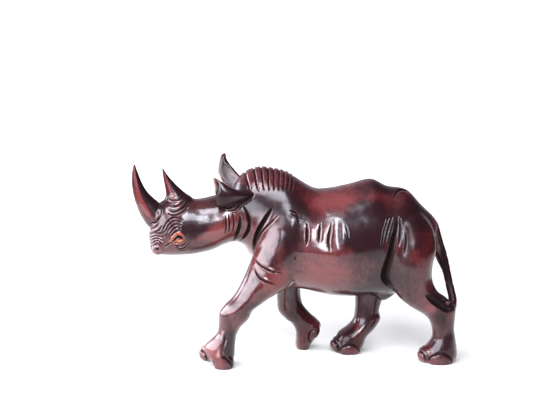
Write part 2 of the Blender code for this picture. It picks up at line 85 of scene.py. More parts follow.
# %% Curves through ribs
def spread(stations, spans):
    """Rows on a smooth curve through the stations: between rows b and c, with a before and d
    after, the row at t is half of 2b + (c - a)t + (2a - 5b + 4c - d)t^2 + (3b - a - 3c + d)t^3."""
    rows = np.array(stations, float)
    ends = np.vstack([2 * rows[0] - rows[1], rows, 2 * rows[-1] - rows[-2]])
    t = np.linspace(0, 1, spans, endpoint=False)[None, :, None]
    a, b, c, d = (ends[k:len(ends) - 3 + k, None, :] for k in range(4))
    curve = 0.5 * (2 * b + (c - a) * t + (2 * a - 5 * b + 4 * c - d) * t**2
                   + (3 * b - a - 3 * c + d) * t**3)
    return np.vstack([curve.reshape(-1, rows.shape[1]), rows[-1:]])


def ramp(value, start, end):
    """0 before start, 1 after end, and between them 3t^2 - 2t^3 of the share t of the way."""
    t = np.clip((value - start) / (end - start), 0, 1)
    return t * t * (3 - 2 * t)


print("a curve through 3 ribs has", len(spread([(0, 0), (1, 1), (2, 0)], 4)), "rows")

# %% [markdown]
# ## The head looks aside
# The head is laid out straight in the side view like the rest, and then turned 10 degrees to the
# animal's left about a plumb line through the poll, as a carver swings the muzzle off the block's
# middle line. Cuts on the head are laid out before that turn too, so both stay together.

# %% Turn points about the poll
HEAD_TURN = math.radians(10)
POLL = (-40.0, 0.0)


def turn(points, angle, about=POLL):
    """Each (x, y) goes round the plumb line: x' = cx - sy and y' = sx + cy, measured from it."""
    c, s = math.cos(angle), math.sin(angle)
    x, y = points[..., 0] - about[0], points[..., 1] - about[1]
    return np.stack([about[0] + c * x - s * y, about[1] + s * x + c * y, points[..., 2]], axis=-1)


tip = turn(np.array([-109.0, 0, 126]), HEAD_TURN)
print("the horn's tip moves aside by", round(float(tip[1]), 1), "mm")

# %% [markdown]
# ## A limb as a skin over its ribs
# Each rib is an oval from an upper to a lower point of the side view, so the outline that one sees
# from the side is exactly the one laid out. How wide it is and how sharp its back and belly are
# are separate values. The grid of points is closed at both ends by a fan of triangles.

# %% Skin a row of ribs
def closed_skin(points):
    """Vertices and triangles of a tube through rings of points, each end closed on its middle.
    The sum of a.(b x c) over the triangles is six times the volume, and tells inside out."""
    rings, sides = points.shape[:2]
    vertices = np.vstack([points.reshape(-1, 3), points[0].mean(0), points[-1].mean(0)])
    i, j = np.meshgrid(np.arange(rings - 1) * sides, np.arange(sides), indexing="ij")
    k = (j + 1) % sides
    rim, after = np.arange(sides), (np.arange(sides) + 1) % sides
    middle, last = np.full(sides, rings * sides), (rings - 1) * sides
    triangles = np.vstack([
        np.stack([i + j, i + k, i + sides + k], -1).reshape(-1, 3),
        np.stack([i + j, i + sides + k, i + sides + j], -1).reshape(-1, 3),
        np.stack([middle, after, rim], -1),
        np.stack([middle + 1, last + rim, last + after], -1),
    ])
    a, b, c = (vertices[triangles[:, n]] for n in range(3))
    volume = (a * np.cross(b, c)).sum()
    return vertices, triangles if volume > 0 else triangles[:, ::-1]


def sweep(stations, sides=48, widest=0.5, ridge=1.0, keel=1.0, shears=(0.0, 0.0),
          on_head=False):
    """At angle u a rib's point lies (1 - cos u) x widest of the way down, or past the widest
    place as much of the rest, and half width x sin u to the power of ridge or keel aside. The
    shears set the left half back by that share of its width, at the top and at the foot."""
    ribs = spread(stations, 6)
    u = np.linspace(0, 2 * math.pi, sides, endpoint=False)
    rise = np.cos(u)
    down = np.where(rise > 0, widest * (1 - rise), widest - (1 - widest) * rise)
    across = np.sign(np.sin(u)) * np.abs(np.sin(u)) ** np.where(rise > 0, ridge, keel)
    upper, lower = ribs[:, None, 0:2], ribs[:, None, 2:4]
    outline = upper + (lower - upper) * down[None, :, None]
    aside = np.maximum(ribs[:, 5:6], 0.2) * across[None, :]
    top_shear, foot_shear = shears
    shear = foot_shear + (top_shear - foot_shear) * (1 + rise) / 2
    set_back = shear[None, :] * np.maximum(-aside, 0)
    points = np.stack([outline[..., 0] + set_back, ribs[:, 4:5] + aside, outline[..., 1]], axis=-1)
    return closed_skin(turn(points, HEAD_TURN) if on_head else points)


def egg(x, z, y, along, up, out, on_head=False, sides=24):
    """The middle plus the three radii times (sin v cos u, sin v sin u, cos v)."""
    v = np.linspace(0, math.pi, sides // 2 + 1)[1:-1, None]
    u = np.linspace(0, 2 * math.pi, sides, endpoint=False)[None, :]
    points = np.stack([x + along * np.sin(v) * np.cos(u), y + out * np.sin(v) * np.sin(u),
                       z + up * np.cos(v) * np.ones_like(u)], axis=-1)
    return closed_skin(turn(points, HEAD_TURN) if on_head else points)


print("an egg has", len(egg(0, 0, 0, 1, 1, 1)[1]), "triangles")

# %% [markdown]
# ## The trunk and the head
# The trunk runs from the root of the tail over the hip bone, the saddle and the crest to the neck.
# Its ribs are slanted there, because the neck reaches forward. The head starts inside the neck.
# Each rib below is (upper x, upper z, lower x, lower z, y, half width) in millimetres.

# %% Ribs of the trunk and the head
TRUNK = [
    (98.5, 91.8, 96.4, 83, 0, 3), (95.7, 96, 92.8, 73.6, 0, 11),
    (92, 99.9, 88.2, 64, 0, 17), (85.8, 105.8, 81, 54, 0, 22.5),
    (78.2, 114, 73, 46.5, 0, 26), (71.9, 116.8, 67.6, 44.3, 0, 27.5),
    (62.3, 118.3, 62, 43.8, 0, 28), (51.4, 123, 51, 43.4, 0, 28.5),
    (37.7, 119.9, 39.9, 42.7, 0, 30), (24.2, 117.2, 27.5, 43.1, 0, 31.5),
    (14, 117, 16.5, 45.3, 0, 31.5), (4.3, 122.1, 5.5, 47.9, 0, 30),
    (-5.4, 128.5, -5.5, 49, 0, 28), (-15.1, 130.8, -15, 51, 0, 25.5),
    (-22, 131.7, -23, 57, 0, 23), (-28.8, 130.6, -28.5, 67, 0, 20.5),
    (-34.8, 127.4, -34.1, 77.9, 0, 18.5), (-39.4, 121.8, -40, 81.4, 0, 17.5),
    (-45, 112, -46, 84, 0, 14),
]
HEAD = [
    (-33, 117.5, -33, 84, 0, 14), (-39.4, 117.4, -40.2, 81.3, 0, 17),
    (-46.8, 114.2, -49, 78.9, 0, 18), (-55.5, 112.1, -57.1, 75.6, 0, 17),
    (-64.9, 110.6, -66.6, 73.6, 0, 15.5), (-72.9, 111.2, -75.4, 72.9, 0, 14.5),
    (-81.3, 111.2, -83.5, 72.9, 0, 13.5), (-89.6, 109.8, -90.4, 73.5, 0, 12.5),
    (-95.1, 102, -94.2, 74.5, 0, 10.5), (-97.7, 92, -96.7, 77.4, 0, 7.5),
    (-98.3, 87, -97.9, 81, 0, 3.5),
]
GROIN = [
    (54, 50, 54, 42.5, 0, 8), (61, 52, 60, 38.8, 0, 8.5),
    (68, 52, 65.4, 40.6, 0, 7.6), (74, 52, 71.6, 45.6, 0, 5.6),
]
print(len(TRUNK), "ribs in the trunk,", len(HEAD), "in the head")

# %% [markdown]
# ## The legs in mid-stride
# The left foreleg reaches forward and the right one is bent back on the tip of its toe. The right
# hind leg steps under the belly and the left one trails. A leg's ribs start high inside the body,
# where they make the shoulder or the thigh, and end below the ground, where the saw goes through.

# %% Ribs of the legs
LEFT_FORELEG = [
    (-14, 112, 2, 108, -5, 8), (-20, 100, 6, 92, -12, 13),
    (-24.2, 86, 5, 74, -16, 13.8), (-30.5, 70.5, -2, 56, -18, 13.2),
    (-35.6, 58.5, -12, 49.6, -20, 11.8), (-41.2, 48.7, -21.4, 43.5, -21, 10.5),
    (-47.9, 41.7, -28.8, 37.9, -22, 10), (-51.6, 36.6, -32.2, 31.9, -22, 9.6),
    (-51.8, 29.5, -37.3, 26.4, -22, 8.2), (-53.1, 22.7, -40.1, 20.8, -22, 8),
    (-57.4, 18.2, -41, 14.6, -22, 9.2), (-61.6, 13.4, -41.2, 8.4, -21.5, 10.2),
    (-59.8, 7.8, -42, 4, -21.5, 10.4), (-54.8, 1.4, -43, 1, -22, 9.8),
    (-52.8, -4, -44, -4, -22, 8),
]
RIGHT_FORELEG = [
    (-14, 112, 2, 108, 5, 8), (-19, 100, 7, 92, 12, 13),
    (-17, 80, 11, 74, 16, 13.5), (-13.5, 62, 9, 58, 17, 12.5),
    (-11, 47, 6, 46, 18, 11), (-10.8, 36.9, 6.4, 36.7, 18, 10),
    (-9.9, 28.6, 8.3, 31.2, 18, 9.6), (-5.4, 22.8, 12.8, 26, 18, 9.2),
    (-0.4, 19, 20.2, 18.8, 18, 8.8), (2.6, 13.7, 19.2, 12.4, 19, 8.6),
    (3, 8.4, 16.8, 7.6, 20, 8.4), (2.6, 3.8, 14, 3, 21, 7.8),
    (3.2, 0.5, 13.2, 0.5, 21, 6.8), (5, -3, 11, -3, 21, 5),
]
LEFT_HINDLEG = [
    (68, 108, 84, 104, -4, 9), (64.4, 98, 92, 91, -12, 13),
    (62.8, 84.1, 94, 77, -16, 14), (61.6, 69.2, 91.7, 66.9, -17, 14.2),
    (64, 57, 91.6, 56.7, -17, 13.2), (67.6, 46.8, 95, 48.9, -17, 12),
    (75.9, 38.9, 100.2, 44.8, -17, 10.8), (86, 32.8, 107.4, 38.2, -17, 9.8),
    (90.5, 28, 107.8, 29.6, -17, 9), (92.5, 21.8, 107.3, 22.6, -17, 8.6),
    (92, 16.2, 108.3, 16, -17, 9.4), (88.4, 10.6, 109.3, 9.4, -17, 10.6),
    (86.2, 5.4, 109.5, 4.2, -17, 11), (86.4, 0.5, 108.3, 0.5, -17, 10.2),
    (88, -4, 105, -4, -17, 8),
]
RIGHT_HINDLEG = [
    (66, 108, 82, 104, 4, 9), (58, 98, 90, 91, 12, 13),
    (50, 78, 86, 70, 16, 14), (45, 58, 77, 54, 16, 13.5),
    (44, 45, 66, 43, 16, 11.5), (44.2, 35, 62.6, 34.6, 15, 9.8),
    (43.8, 28.4, 60.8, 28.2, 14, 9.2), (42.2, 22, 61.7, 22.6, 13, 9),
    (37.8, 17.6, 57.4, 16, 12, 9.2), (32, 13.4, 52, 10.6, 11, 10),
    (30, 8.6, 50, 5.6, 11, 10.6), (29, 4.4, 49, 3, 11, 10.8),
    (29.6, 0.5, 48, 0.5, 11, 10), (31, -4, 46, -4, 11, 8),
]
LEGS = (LEFT_FORELEG, RIGHT_FORELEG, LEFT_HINDLEG, RIGHT_HINDLEG)
print("ribs in the legs:", [len(leg) for leg in LEGS])

# %% [markdown]
# ## Horns, ears, tail and toes
# These are added after the limbs have been blended, so that their joins stay crisp. The left ear is
# one sweep that runs out from its root to its rim and then back in down the hollow, as a folded
# sock does. The right one is a solid leaf, whose hollow is scooped out later. The tail's tuft lies
# on the hock, and the wood between them was left standing for strength.

# %% Ribs of the horns, ears and tail
FRONT_HORN = [
    (-94, 90, -86, 103, 0, 7), (-98.8, 92.5, -90.4, 107.4, 0, 7.4),
    (-103.8, 100, -93, 110.2, 0, 6.6), (-106.3, 106, -95.6, 112.4, 0, 5.8),
    (-108, 112.7, -98.9, 115.8, 0, 4.9), (-109.2, 119.5, -102.1, 120.8, 0, 3.8),
    (-109.4, 126.2, -104.4, 126.4, 0, 2.5), (-108.9, 131.4, -106.2, 131.5, 0, 1.5),
    (-108.1, 134.4, -107, 134.4, 0, 0.6),
]
REAR_HORN = [
    (-89.6, 103.5, -66, 105, 0, 8.5), (-88.4, 109.8, -69, 111.2, 0, 7.4),
    (-87, 113.6, -74.3, 115.2, 0, 5.6), (-87.5, 118.7, -79.6, 120, 0, 3.7),
    (-88.4, 124.1, -83.9, 124.7, 0, 2.1), (-89, 128.6, -87, 128.8, 0, 1.1),
    (-89.2, 131.2, -88.3, 131.2, 0, 0.6),
]
LEFT_EAR = [
    (-31, 116.8, -31, 108, -12, 4), (-36, 117.2, -36.5, 107.6, -15, 5.6),
    (-42, 118.8, -43, 107, -18, 6.6), (-48.2, 122, -49, 107.2, -20, 6.4),
    (-55.6, 127.2, -52.2, 108.4, -21, 4.8), (-52.4, 123, -50.6, 110.6, -20.5, 2.8),
    (-47.4, 118.8, -47.4, 110.8, -20, 3.2), (-42, 116, -42.2, 111.4, -18, 2.4),
]
RIGHT_EAR = [
    (-30, 120, -34, 110, 8, 4.6), (-35.6, 123.6, -40, 113, 10, 5),
    (-39.3, 127.4, -45.9, 117.2, 11.5, 4.6), (-42.1, 130.5, -50.1, 122.4, 12.5, 4),
    (-44.1, 133, -51.6, 126.8, 13, 3.3), (-45.4, 135.4, -51, 131.4, 13, 2.6),
    (-45.8, 137.6, -50.2, 135.6, 13, 1.9), (-46.2, 139.6, -49, 138.8, 13, 1.1),
]
TAIL = [
    (95, 96.2, 91.8, 82, 0, 5.6), (98.6, 91.3, 94.4, 78, 0, 4.9),
    (101.2, 82.6, 95.6, 72.4, 0, 4.4), (103.9, 73.5, 97.8, 67, 0, 3.8),
    (106.4, 65.1, 100.4, 61.8, 0, 3.4), (108.2, 56.6, 102.9, 55.2, -1, 3.1),
    (109.6, 48.8, 104.4, 48, -3, 3), (111, 41.8, 105.4, 40.4, -6, 3.2),
    (110.6, 36, 104.6, 34, -9, 3.2), (109, 30.6, 102.6, 32, -11, 2.8),
]
TAIL_BRIDGE = [
    (94, 47, 98, 36, -14, 4), (101, 43.4, 102.5, 34.5, -12.5, 3.6),
    (106, 39.4, 106, 31, -11, 3.2), (109.6, 38.2, 108.8, 31.5, -10, 2.6),
]
print("ribs in the ears:", len(LEFT_EAR), "out and back in, and", len(RIGHT_EAR))

# %% [markdown]
# A toe is an egg set into the foot, and an eyeball an egg set into the head. Each is given by its
# middle (x, z, y) and its radii along x, z and y. The same eggs place the toenails later on.

# %% Eggs for the toes, eyes and upper lip
TOES = {
    "left fore, front": (-57.5, 8.4, -19.4, 7.8, 6.4, 7.2),
    "left fore, outer": (-48.8, 3.6, -26.4, 7, 7, 5.8),
    "left fore, inner": (-49, 3.6, -15.8, 7, 6.8, 5.2),
    "left hind, front": (90, 5, -18, 7.6, 6.6, 7.4),
    "left hind, outer": (97.2, 3.4, -23.2, 9.4, 7, 5.6),
    "left hind, inner": (97.2, 3.4, -10.8, 8.8, 6.6, 5),
    "right hind, front": (33.8, 5.2, 10.4, 7.6, 6.4, 7.4),
    "right hind, inner": (39.2, 3.4, 4.6, 8, 6.4, 5.4),
    "right hind, outer": (39.2, 3.4, 17.4, 8, 6.4, 5.4),
    "right fore, inner": (13.8, 15.4, 14.6, 5.8, 7.6, 5),
    "right fore, outer": (13.8, 15.4, 24.6, 5.8, 7.6, 5),
    "right fore, front": (8, 5.2, 21, 5.4, 6, 7),
}
EYEBALLS = [(-80.9, 86.6, side * 11.2, 3.2, 2.6, 3.2) for side in (-1, 1)]
UPPER_LIP = (-92.8, 80.2, 0.0, 5.2, 6.8, 8.2)
print(len(TOES), "toes")

# %% [markdown]
# ## Fusing the limbs into one block
# Overlapping skins become one closed surface with a voxel remesh: space is cut into small cubes,
# and a new skin is laid where inside meets outside. It doesn't matter how the limbs cross.

# %% Mesh helpers
def mesh_of(solids, name):
    """One mesh that holds every (vertices, triangles) of the list, in metres."""
    starts = np.cumsum([0] + [len(vertices) for vertices, _ in solids[:-1]])
    vertices = np.vstack([vertices for vertices, _ in solids]) * MM
    corners = np.vstack([t + start for (_, t), start in zip(solids, starts)]).astype(np.int32)
    mesh = bpy.data.meshes.new(name)
    mesh.vertices.add(len(vertices))
    mesh.vertices.foreach_set("co", vertices.astype(np.float32).ravel())
    mesh.loops.add(corners.size)
    mesh.loops.foreach_set("vertex_index", corners.ravel())
    mesh.polygons.add(len(corners))
    mesh.polygons.foreach_set("loop_start", np.arange(0, corners.size, 3, dtype=np.int32))
    mesh.update(calc_edges=True)
    return mesh


def vectors(mesh, name):
    """The vertices' places in mm ("co") or their outward normals ("normal"), one row each."""
    flat = np.empty(len(mesh.vertices) * 3, np.float32)
    mesh.vertices.foreach_get(name, flat)
    return flat.reshape(-1, 3).astype(float) / (MM if name == "co" else 1)


def put(mesh, places):
    """Moves the vertices to these places, given in mm."""
    mesh.vertices.foreach_set("co", (places * MM).astype(np.float32).ravel())
    mesh.update()


def worked(obj, kind, **settings):
    """Adds one modifier, keeps the mesh that it makes, and takes the modifier off again."""
    modifier = obj.modifiers.new(kind.lower(), kind)
    for name, value in settings.items():
        setattr(modifier, name, value)
    graph = bpy.context.evaluated_depsgraph_get()
    mesh = bpy.data.meshes.new_from_object(obj.evaluated_get(graph))
    obj.modifiers.clear()
    obj.data = mesh


limbs = [
    sweep(TRUNK, sides=72, widest=0.56, ridge=1.25, keel=0.95),
    sweep(HEAD, widest=0.55, ridge=0.9, keel=0.95, on_head=True),
    sweep(GROIN, sides=24),
] + [sweep(leg) for leg in LEGS]
figure = bpy.data.objects.new("carved_rhinoceros", mesh_of(limbs, "limbs"))
bpy.context.scene.collection.objects.link(figure)
worked(figure, "REMESH", mode="VOXEL", voxel_size=ROUGH_PITCH * MM)
print("the fused limbs have", len(figure.data.vertices), "points")

# %% [markdown]
# ## Filling the creases
# Where two limbs meet, the fused skin has a sharp inner corner. A carver never leaves one: the
# gouge's sweep rounds it. Smoothing the whole mesh would also shrink ears and toes, so each point
# keeps only the part of its move that goes outwards. Creases fill up, and ridges stay.

# %% Blend the limbs into the trunk
WIDE_FILL, NARROW_FILL = 6.0, 1.5
FILLED_ABOVE, FILLED_LESS_BELOW = 54.0, 36.0
FILL_AT_FEET = 0.3


def fill_creases(obj, reach, pitch, at_feet=1.0):
    """Smooths for 4 (reach / pitch)^2 rounds and keeps max(0, move . normal) of each move,
    times a share that falls from 1 on the body to at_feet near the ground."""
    before, outward = vectors(obj.data, "co"), vectors(obj.data, "normal")
    worked(obj, "SMOOTH", factor=0.5, iterations=round(4 * (reach / pitch) ** 2))
    move = ((vectors(obj.data, "co") - before) * outward).sum(axis=1)
    share = at_feet + (1 - at_feet) * ramp(before[:, 2], FILLED_LESS_BELOW, FILLED_ABOVE)
    put(obj.data, before + outward * (np.maximum(move, 0) * share)[:, None])
    return move.max()


deepest = fill_creases(figure, WIDE_FILL, ROUGH_PITCH, at_feet=FILL_AT_FEET)
print("the deepest crease was filled by", round(deepest, 1), "mm")

# %% [markdown]
# ## Adding the small parts and evening the skin
# The horns, ears, tail, lip, toes and eyes are fused on at the fine pitch, and their creases are
# filled narrowly. The remesh leaves faint steps, which gloss lacquer would show as ripples. They
# come out with Taubin's smoothing: one pass in, one slightly longer pass back out, so the waves
# shorter than a few points go and the figure doesn't shrink.

# %% Fuse the small parts on
def evened(mesh, rounds, inwards=0.5, outwards=-0.53):
    """Each point moves the share inwards of its way to the mean of its neighbours, then the
    share outwards of it, which is negative, and this pair of moves is made rounds times."""
    pairs = np.empty(len(mesh.edges) * 2, np.int32)
    mesh.edges.foreach_get("vertices", pairs)
    a, b = pairs.reshape(-1, 2).T
    here, there = np.concatenate([a, b]), np.concatenate([b, a])
    places = vectors(mesh, "co")
    count = np.bincount(here, minlength=len(places))[:, None]
    for share in (inwards, outwards) * rounds:
        total = np.stack([np.bincount(here, places[there, n], len(places)) for n in range(3)], 1)
        places = places + share * (total / count - places)
    put(mesh, places)


small_parts = [
    sweep(FRONT_HORN, on_head=True),
    sweep(REAR_HORN, on_head=True),
    sweep(LEFT_EAR, sides=36, ridge=1.2, shears=(1.5, -0.4)),
    sweep(RIGHT_EAR, sides=36),
    sweep(TAIL, sides=24),
    sweep(TAIL_BRIDGE, sides=24),
    egg(*UPPER_LIP, on_head=True),
] + [egg(*toe) for toe in TOES.values()] + [egg(*eye, on_head=True) for eye in EYEBALLS]
bm = bmesh.new()
bm.from_mesh(figure.data)
bm.from_mesh(mesh_of(small_parts, "small parts"))
bm.to_mesh(figure.data)
bm.free()
worked(figure, "REMESH", mode="VOXEL", voxel_size=FINE_PITCH * MM)
fill_creases(figure, NARROW_FILL, FINE_PITCH)
evened(figure.data, rounds=12)
print("the whole figure has", len(figure.data.vertices), "points")

# %% [markdown]
# ## How a knife cut looks
# A V-gouge leaves a narrow groove that starts and ends in a point, with one wall steeper than the
# other where the tool was tilted, and it pushes up a fine lip on both sides. Here a cut is a path
# in the side view. Every point of the wood finds its gap to that path, and the groove's depth is
# a function of the gap. All cuts are worked out for all points at once, before any point moves.

# %% One knife cut
wood = vectors(figure.data, "co")
outward = vectors(figure.data, "normal")
wood_on_head = turn(wood, -HEAD_TURN)
outward_on_head = turn(outward, -HEAD_TURN, about=(0.0, 0.0))
depth, lip, stain_and_shade = (np.zeros(len(wood)) for _ in range(3))
LEFT, RIGHT = -1, 1


def gap_to(path, x, z):
    """For each (x, z): the gap to the nearest straight piece of the path, above 0 on its right
    hand, and the share of the path's length at which that nearest place lies."""
    line = spread(path, 4)
    lengths = np.hypot(*np.diff(line, axis=0).T)
    so_far = np.concatenate([[0], np.cumsum(lengths)])
    best, share = np.full(len(x), 1e9), np.zeros(len(x))
    for (ax, az), (bx, bz), long, start in zip(line, line[1:], lengths, so_far):
        dx, dz = (bx - ax) / long, (bz - az) / long
        t = np.clip((x - ax) * dx + (z - az) * dz, 0, long)
        gap = np.hypot(x - ax - t * dx, z - az - t * dz)
        hand = np.sign((x - ax) * dz - (z - az) * dx)
        closer = gap < np.abs(best)
        best = np.where(closer, np.where(hand == 0, 1, hand) * gap, best)
        share = np.where(closer, (start + t) / so_far[-1], share)
    return best, share


def knife(path, width, deep, side=0, head=False, middle=0.0, lean=0.0, swell=0.0, raise_=0.16,
          ends=0.5, inked=1.0, ink_to=0.95):
    """Adds one groove. With u the gap over the half width, its depth is deep (1 - |u|)^1.3 and its
    lips are deep x raise_ x exp(-((|u| - 1.5) / 0.5)^2). The width tapers as the sine of the share
    to the power of ends, swell widens it along its way, and lean makes the wall on the right hand
    gentler by that share and the other one steeper. Ink, which is dark stain and painted shade,
    covers u up to ink_to, fading over its last 0.6, at the strength inked. With a side, only wood
    beyond middle that faces there is cut."""
    spots, normals = (wood_on_head, outward_on_head) if head else (wood, outward)
    x, y, z = spots.T
    points = np.array(path)
    low, high = points.min(0) - 3 * width, points.max(0) + 3 * width
    seen = (x > low[0]) & (x < high[0]) & (z > low[1]) & (z < high[1])
    if side:
        seen &= (side * (y - middle) > 0.3) & (side * normals[:, 1] > -0.1)
    near = np.nonzero(seen)[0]
    gap, share = gap_to(path, x[near], z[near])
    taper = np.maximum(np.sin(math.pi * np.clip(share, 0.015, 0.985)), 0) ** ends
    half = width * (0.3 + 0.7 * taper) * (1 + swell * (2 * share - 1))
    u = np.abs(gap) / (half * np.where(gap > 0, 1 + lean, 1 - lean))
    shown = np.ones(len(near))
    if side:
        shown = ramp(side * (y[near] - middle), 0.3, 2.5)
        shown = shown * ramp(side * normals[near, 1], -0.1, 0.25)
    groove = np.maximum(1 - u, 0) ** 1.3 * taper * shown
    depth[near] = np.maximum(depth[near], deep * groove)
    lip[near] += deep * raise_ * np.exp(-(((u - 1.5) / 0.5) ** 2)) * taper * shown
    # The ink is dark stain left in the cut, and it also paints shade into the groove and just past
    # its edges.
    ink = inked * ramp(ink_to - u, 0.0, 0.6) * taper**0.5 * shown
    stain_and_shade[near] = np.maximum(stain_and_shade[near], ink)


def both(path, width, deep, **how):
    """The same cut on the animal's left side and on its right."""
    for side in (LEFT, RIGHT):
        knife(path, width, deep, side=side, **how)


def left(path, width, deep, **how):
    """A cut on the side that faces the viewer alone."""
    knife(path, width, deep, side=LEFT, **how)


print("places to carve:", len(wood))

# %% [markdown]
# ## Folds of neck, chest and shoulder
# The shoulder stands over the neck, so the deep fold before it has a steep wall behind and a
# gentle one in front. Below it three folds run back over the chest, and two short sickle cuts
# mark the top of the shoulder blade. The hidden side gets the same main folds, with fewer cuts.

# %% Cut the neck, chest and shoulder
NECK_FOLD = [(-16, 107), (-19, 103.1), (-23, 96.9), (-26.5, 90.4), (-28.3, 83.2), (-28.7, 77.2)]
both(NECK_FOLD, 1.6, 2.8, lean=-0.4, ink_to=1.3, raise_=0.08)
both([(-12.9, 101.1), (-19, 95.6), (-23.9, 89.7), (-26.6, 82.7)], 0.8, 1.2, lean=-0.4, raise_=0.08)
both([(-28.6, 74), (-25.4, 70.3), (-18.5, 66.2), (-9.6, 64.5)], 0.8, 1.1)
both([(-29, 68.3), (-26.1, 62.7), (-22, 59.7), (-13.9, 57)], 0.9, 1.4)
both([(-4.8, 105.3), (-0.6, 103.4), (2, 98.5)], 0.8, 1.2, lean=0.3)
left([(-26.4, 70.3), (-20.7, 67.7), (-14.2, 64.2)], 0.7, 0.9)
left([(-4.4, 103.1), (-0.5, 101.2), (1.7, 97.6)], 0.7, 0.9, lean=0.3)
left([(-1.9, 75.6), (-1.2, 73)], 0.8, 0.7)
print("deepest so far", round(depth.max(), 1), "mm")

# %% [markdown]
# ## Ribs and flank
# Three lens-shaped hollows show the ribs, with a faint fourth, and the wood round them is pared
# flatter, so that it catches a window as one bright patch. The flank is closed by one long gouge
# cut that widens on its way down between belly and thigh, with thin cuts on both sides.

# %% Cut the ribs and the flank
RIB_HOLLOWS = [
    [(6.4, 96.8), (6, 89.4), (5.8, 82.2)],
    [(15.4, 97), (13.9, 90.6), (13.8, 84.2)],
    [(22.8, 97), (20.6, 90.2), (19.9, 84.4), (21.3, 78)],
]
RIB_PATCH = (13.5, 89.5, 17.5, 11.5, 1.15)
FLANK_CUTS = [
    ([(58.9, 99.4), (55.6, 91.2), (54, 80.8)], 0.6, 0.8),
    ([(61.4, 100.4), (57.8, 92.5), (55.7, 81.8)], 0.6, 0.9),
    ([(63.8, 100.6), (60.4, 93), (57.9, 83.3)], 0.6, 0.9),
    ([(68.7, 99.1), (68.4, 90.4), (66.7, 80.4)], 0.8, 1.0),
    ([(71.5, 91.4), (71.6, 84.7), (70.6, 75.9)], 0.7, 0.9),
]
LEFT_FLANK = [(66.9, 99.6), (63.4, 87.4), (60.3, 74.9), (57.6, 63.4), (58.4, 57.6), (62.9, 52.6)]
RIGHT_FLANK = [(60.5, 100), (54, 88), (46.5, 72), (42, 60), (41, 52)]


def facet(x0, z0, half_long, half_high, deep, side):
    """Pares the wood flatter over a patch: the depth is deep (1 - (dz / half high)^2), which
    takes the belly out of a round, and fades out over the last third of its half length."""
    x, y, z = wood.T
    over = np.maximum(1 - ((z - z0) / half_high) ** 2, 0)
    along = 1 - ramp(np.abs(x - x0), 0.66 * half_long, half_long)
    pared[:] = np.maximum(pared, deep * over * along * ramp(side * outward[:, 1], 0.1, 0.5))


pared = np.zeros(len(wood))
for side in (LEFT, RIGHT):
    facet(*RIB_PATCH, side)
for path in RIB_HOLLOWS:
    both(path, 1.05, 1.7, lean=-0.25, ends=0.8, ink_to=1.2)
left([(31.6, 95.2), (32.8, 91.4), (33.5, 87.5)], 0.7, 0.6, inked=0.7)
left(LEFT_FLANK, 2.0, 3.6, swell=0.5, lean=-0.3, ends=0.35, ink_to=1.7, raise_=0.03)
for path, width, deep in FLANK_CUTS:
    left(path, width, deep, raise_=0.06)
knife(RIGHT_FLANK, 2.0, 3.6, side=RIGHT, swell=0.4, ends=0.35, ink_to=1.7, raise_=0.03)
knife([(64, 97), (60, 88), (56, 79)], 0.8, 1.1, side=RIGHT)
both([(65.6, 111.4), (68.4, 114.4), (72.4, 115.6), (77, 114.2)], 0.8, 0.7)
print("deepest so far", round(depth.max(), 1), "mm")

# %% [markdown]
# ## The crest
# The hump behind the ears carries a short mane: knife lines fan out from a point deep in the
# chest, closer together towards the back, and the wood between two lines is rounded into a lobe.
# The depth follows the angle about that point, so the lines also run over the top of the hump.

# %% Score the crest
CREST_FAN = (-17.8, 70.0)
CREST_FIRST, CREST_LAST = math.radians(-15.2), math.radians(18.0)
CREST_LINES, CREST_DEPTH = 9, 1.3
CREST_FOOT = 115.5


def crest():
    """How deep in a line each point is, max(0, 1 - |sin(pi n)| / 0.5) where n counts the lines,
    at the angle's share^1.3 x 8, and how far n is past the line before it."""
    x, y, z = wood.T
    angle = np.arctan2(x - CREST_FAN[0], z - CREST_FAN[1])
    share = (angle - CREST_FIRST) / (CREST_LAST - CREST_FIRST)
    line = (CREST_LINES - 1) * np.maximum(share + 0.02, 0) ** 1.3
    inside = ramp(share, -0.03, 0.0) * (1 - ramp(share, 1.0, 1.03))
    band = inside * ramp(z, CREST_FOOT, CREST_FOOT + 5) * (1 - ramp(np.abs(y), 14, 19))
    return np.maximum(1 - np.abs(np.sin(math.pi * line)) / 0.5, 0) * band, (line % 1), band


valley, past, band = crest()
depth[:] = np.maximum(depth, CREST_DEPTH * valley)
# The crest's lines are inked dark, as stain and as painted shade in the valleys.
stain_and_shade[:] = np.maximum(stain_and_shade, ramp(valley, 0.25, 0.7))
# Just behind each crest line a thin pale line is painted on: a painted highlight.
crest_highlight_lines = band * np.exp(-(((past - 0.19) / 0.05) ** 2))  # a pale line behind each cut
print("points in the crest's lines:", int((valley > 0.5).sum()))

# %% [markdown]
# ## Wrinkles round the muzzle and the horns
# Wrinkles come in families, and each family is listed line by line: each next line is close to the
# last one moved and stretched a little. The lines on the nose run right round its front, so they
# have no side, and each wavers slightly, because a hand cut them.

# %% Cut the muzzle and the horn bases
def wrinkle(path, width=0.68, deep=0.7, raise_=0.35, **how):
    """A fine cut on both sides of the head, with round ridges beside it."""
    both(path, width, deep, head=True, raise_=raise_, **how)


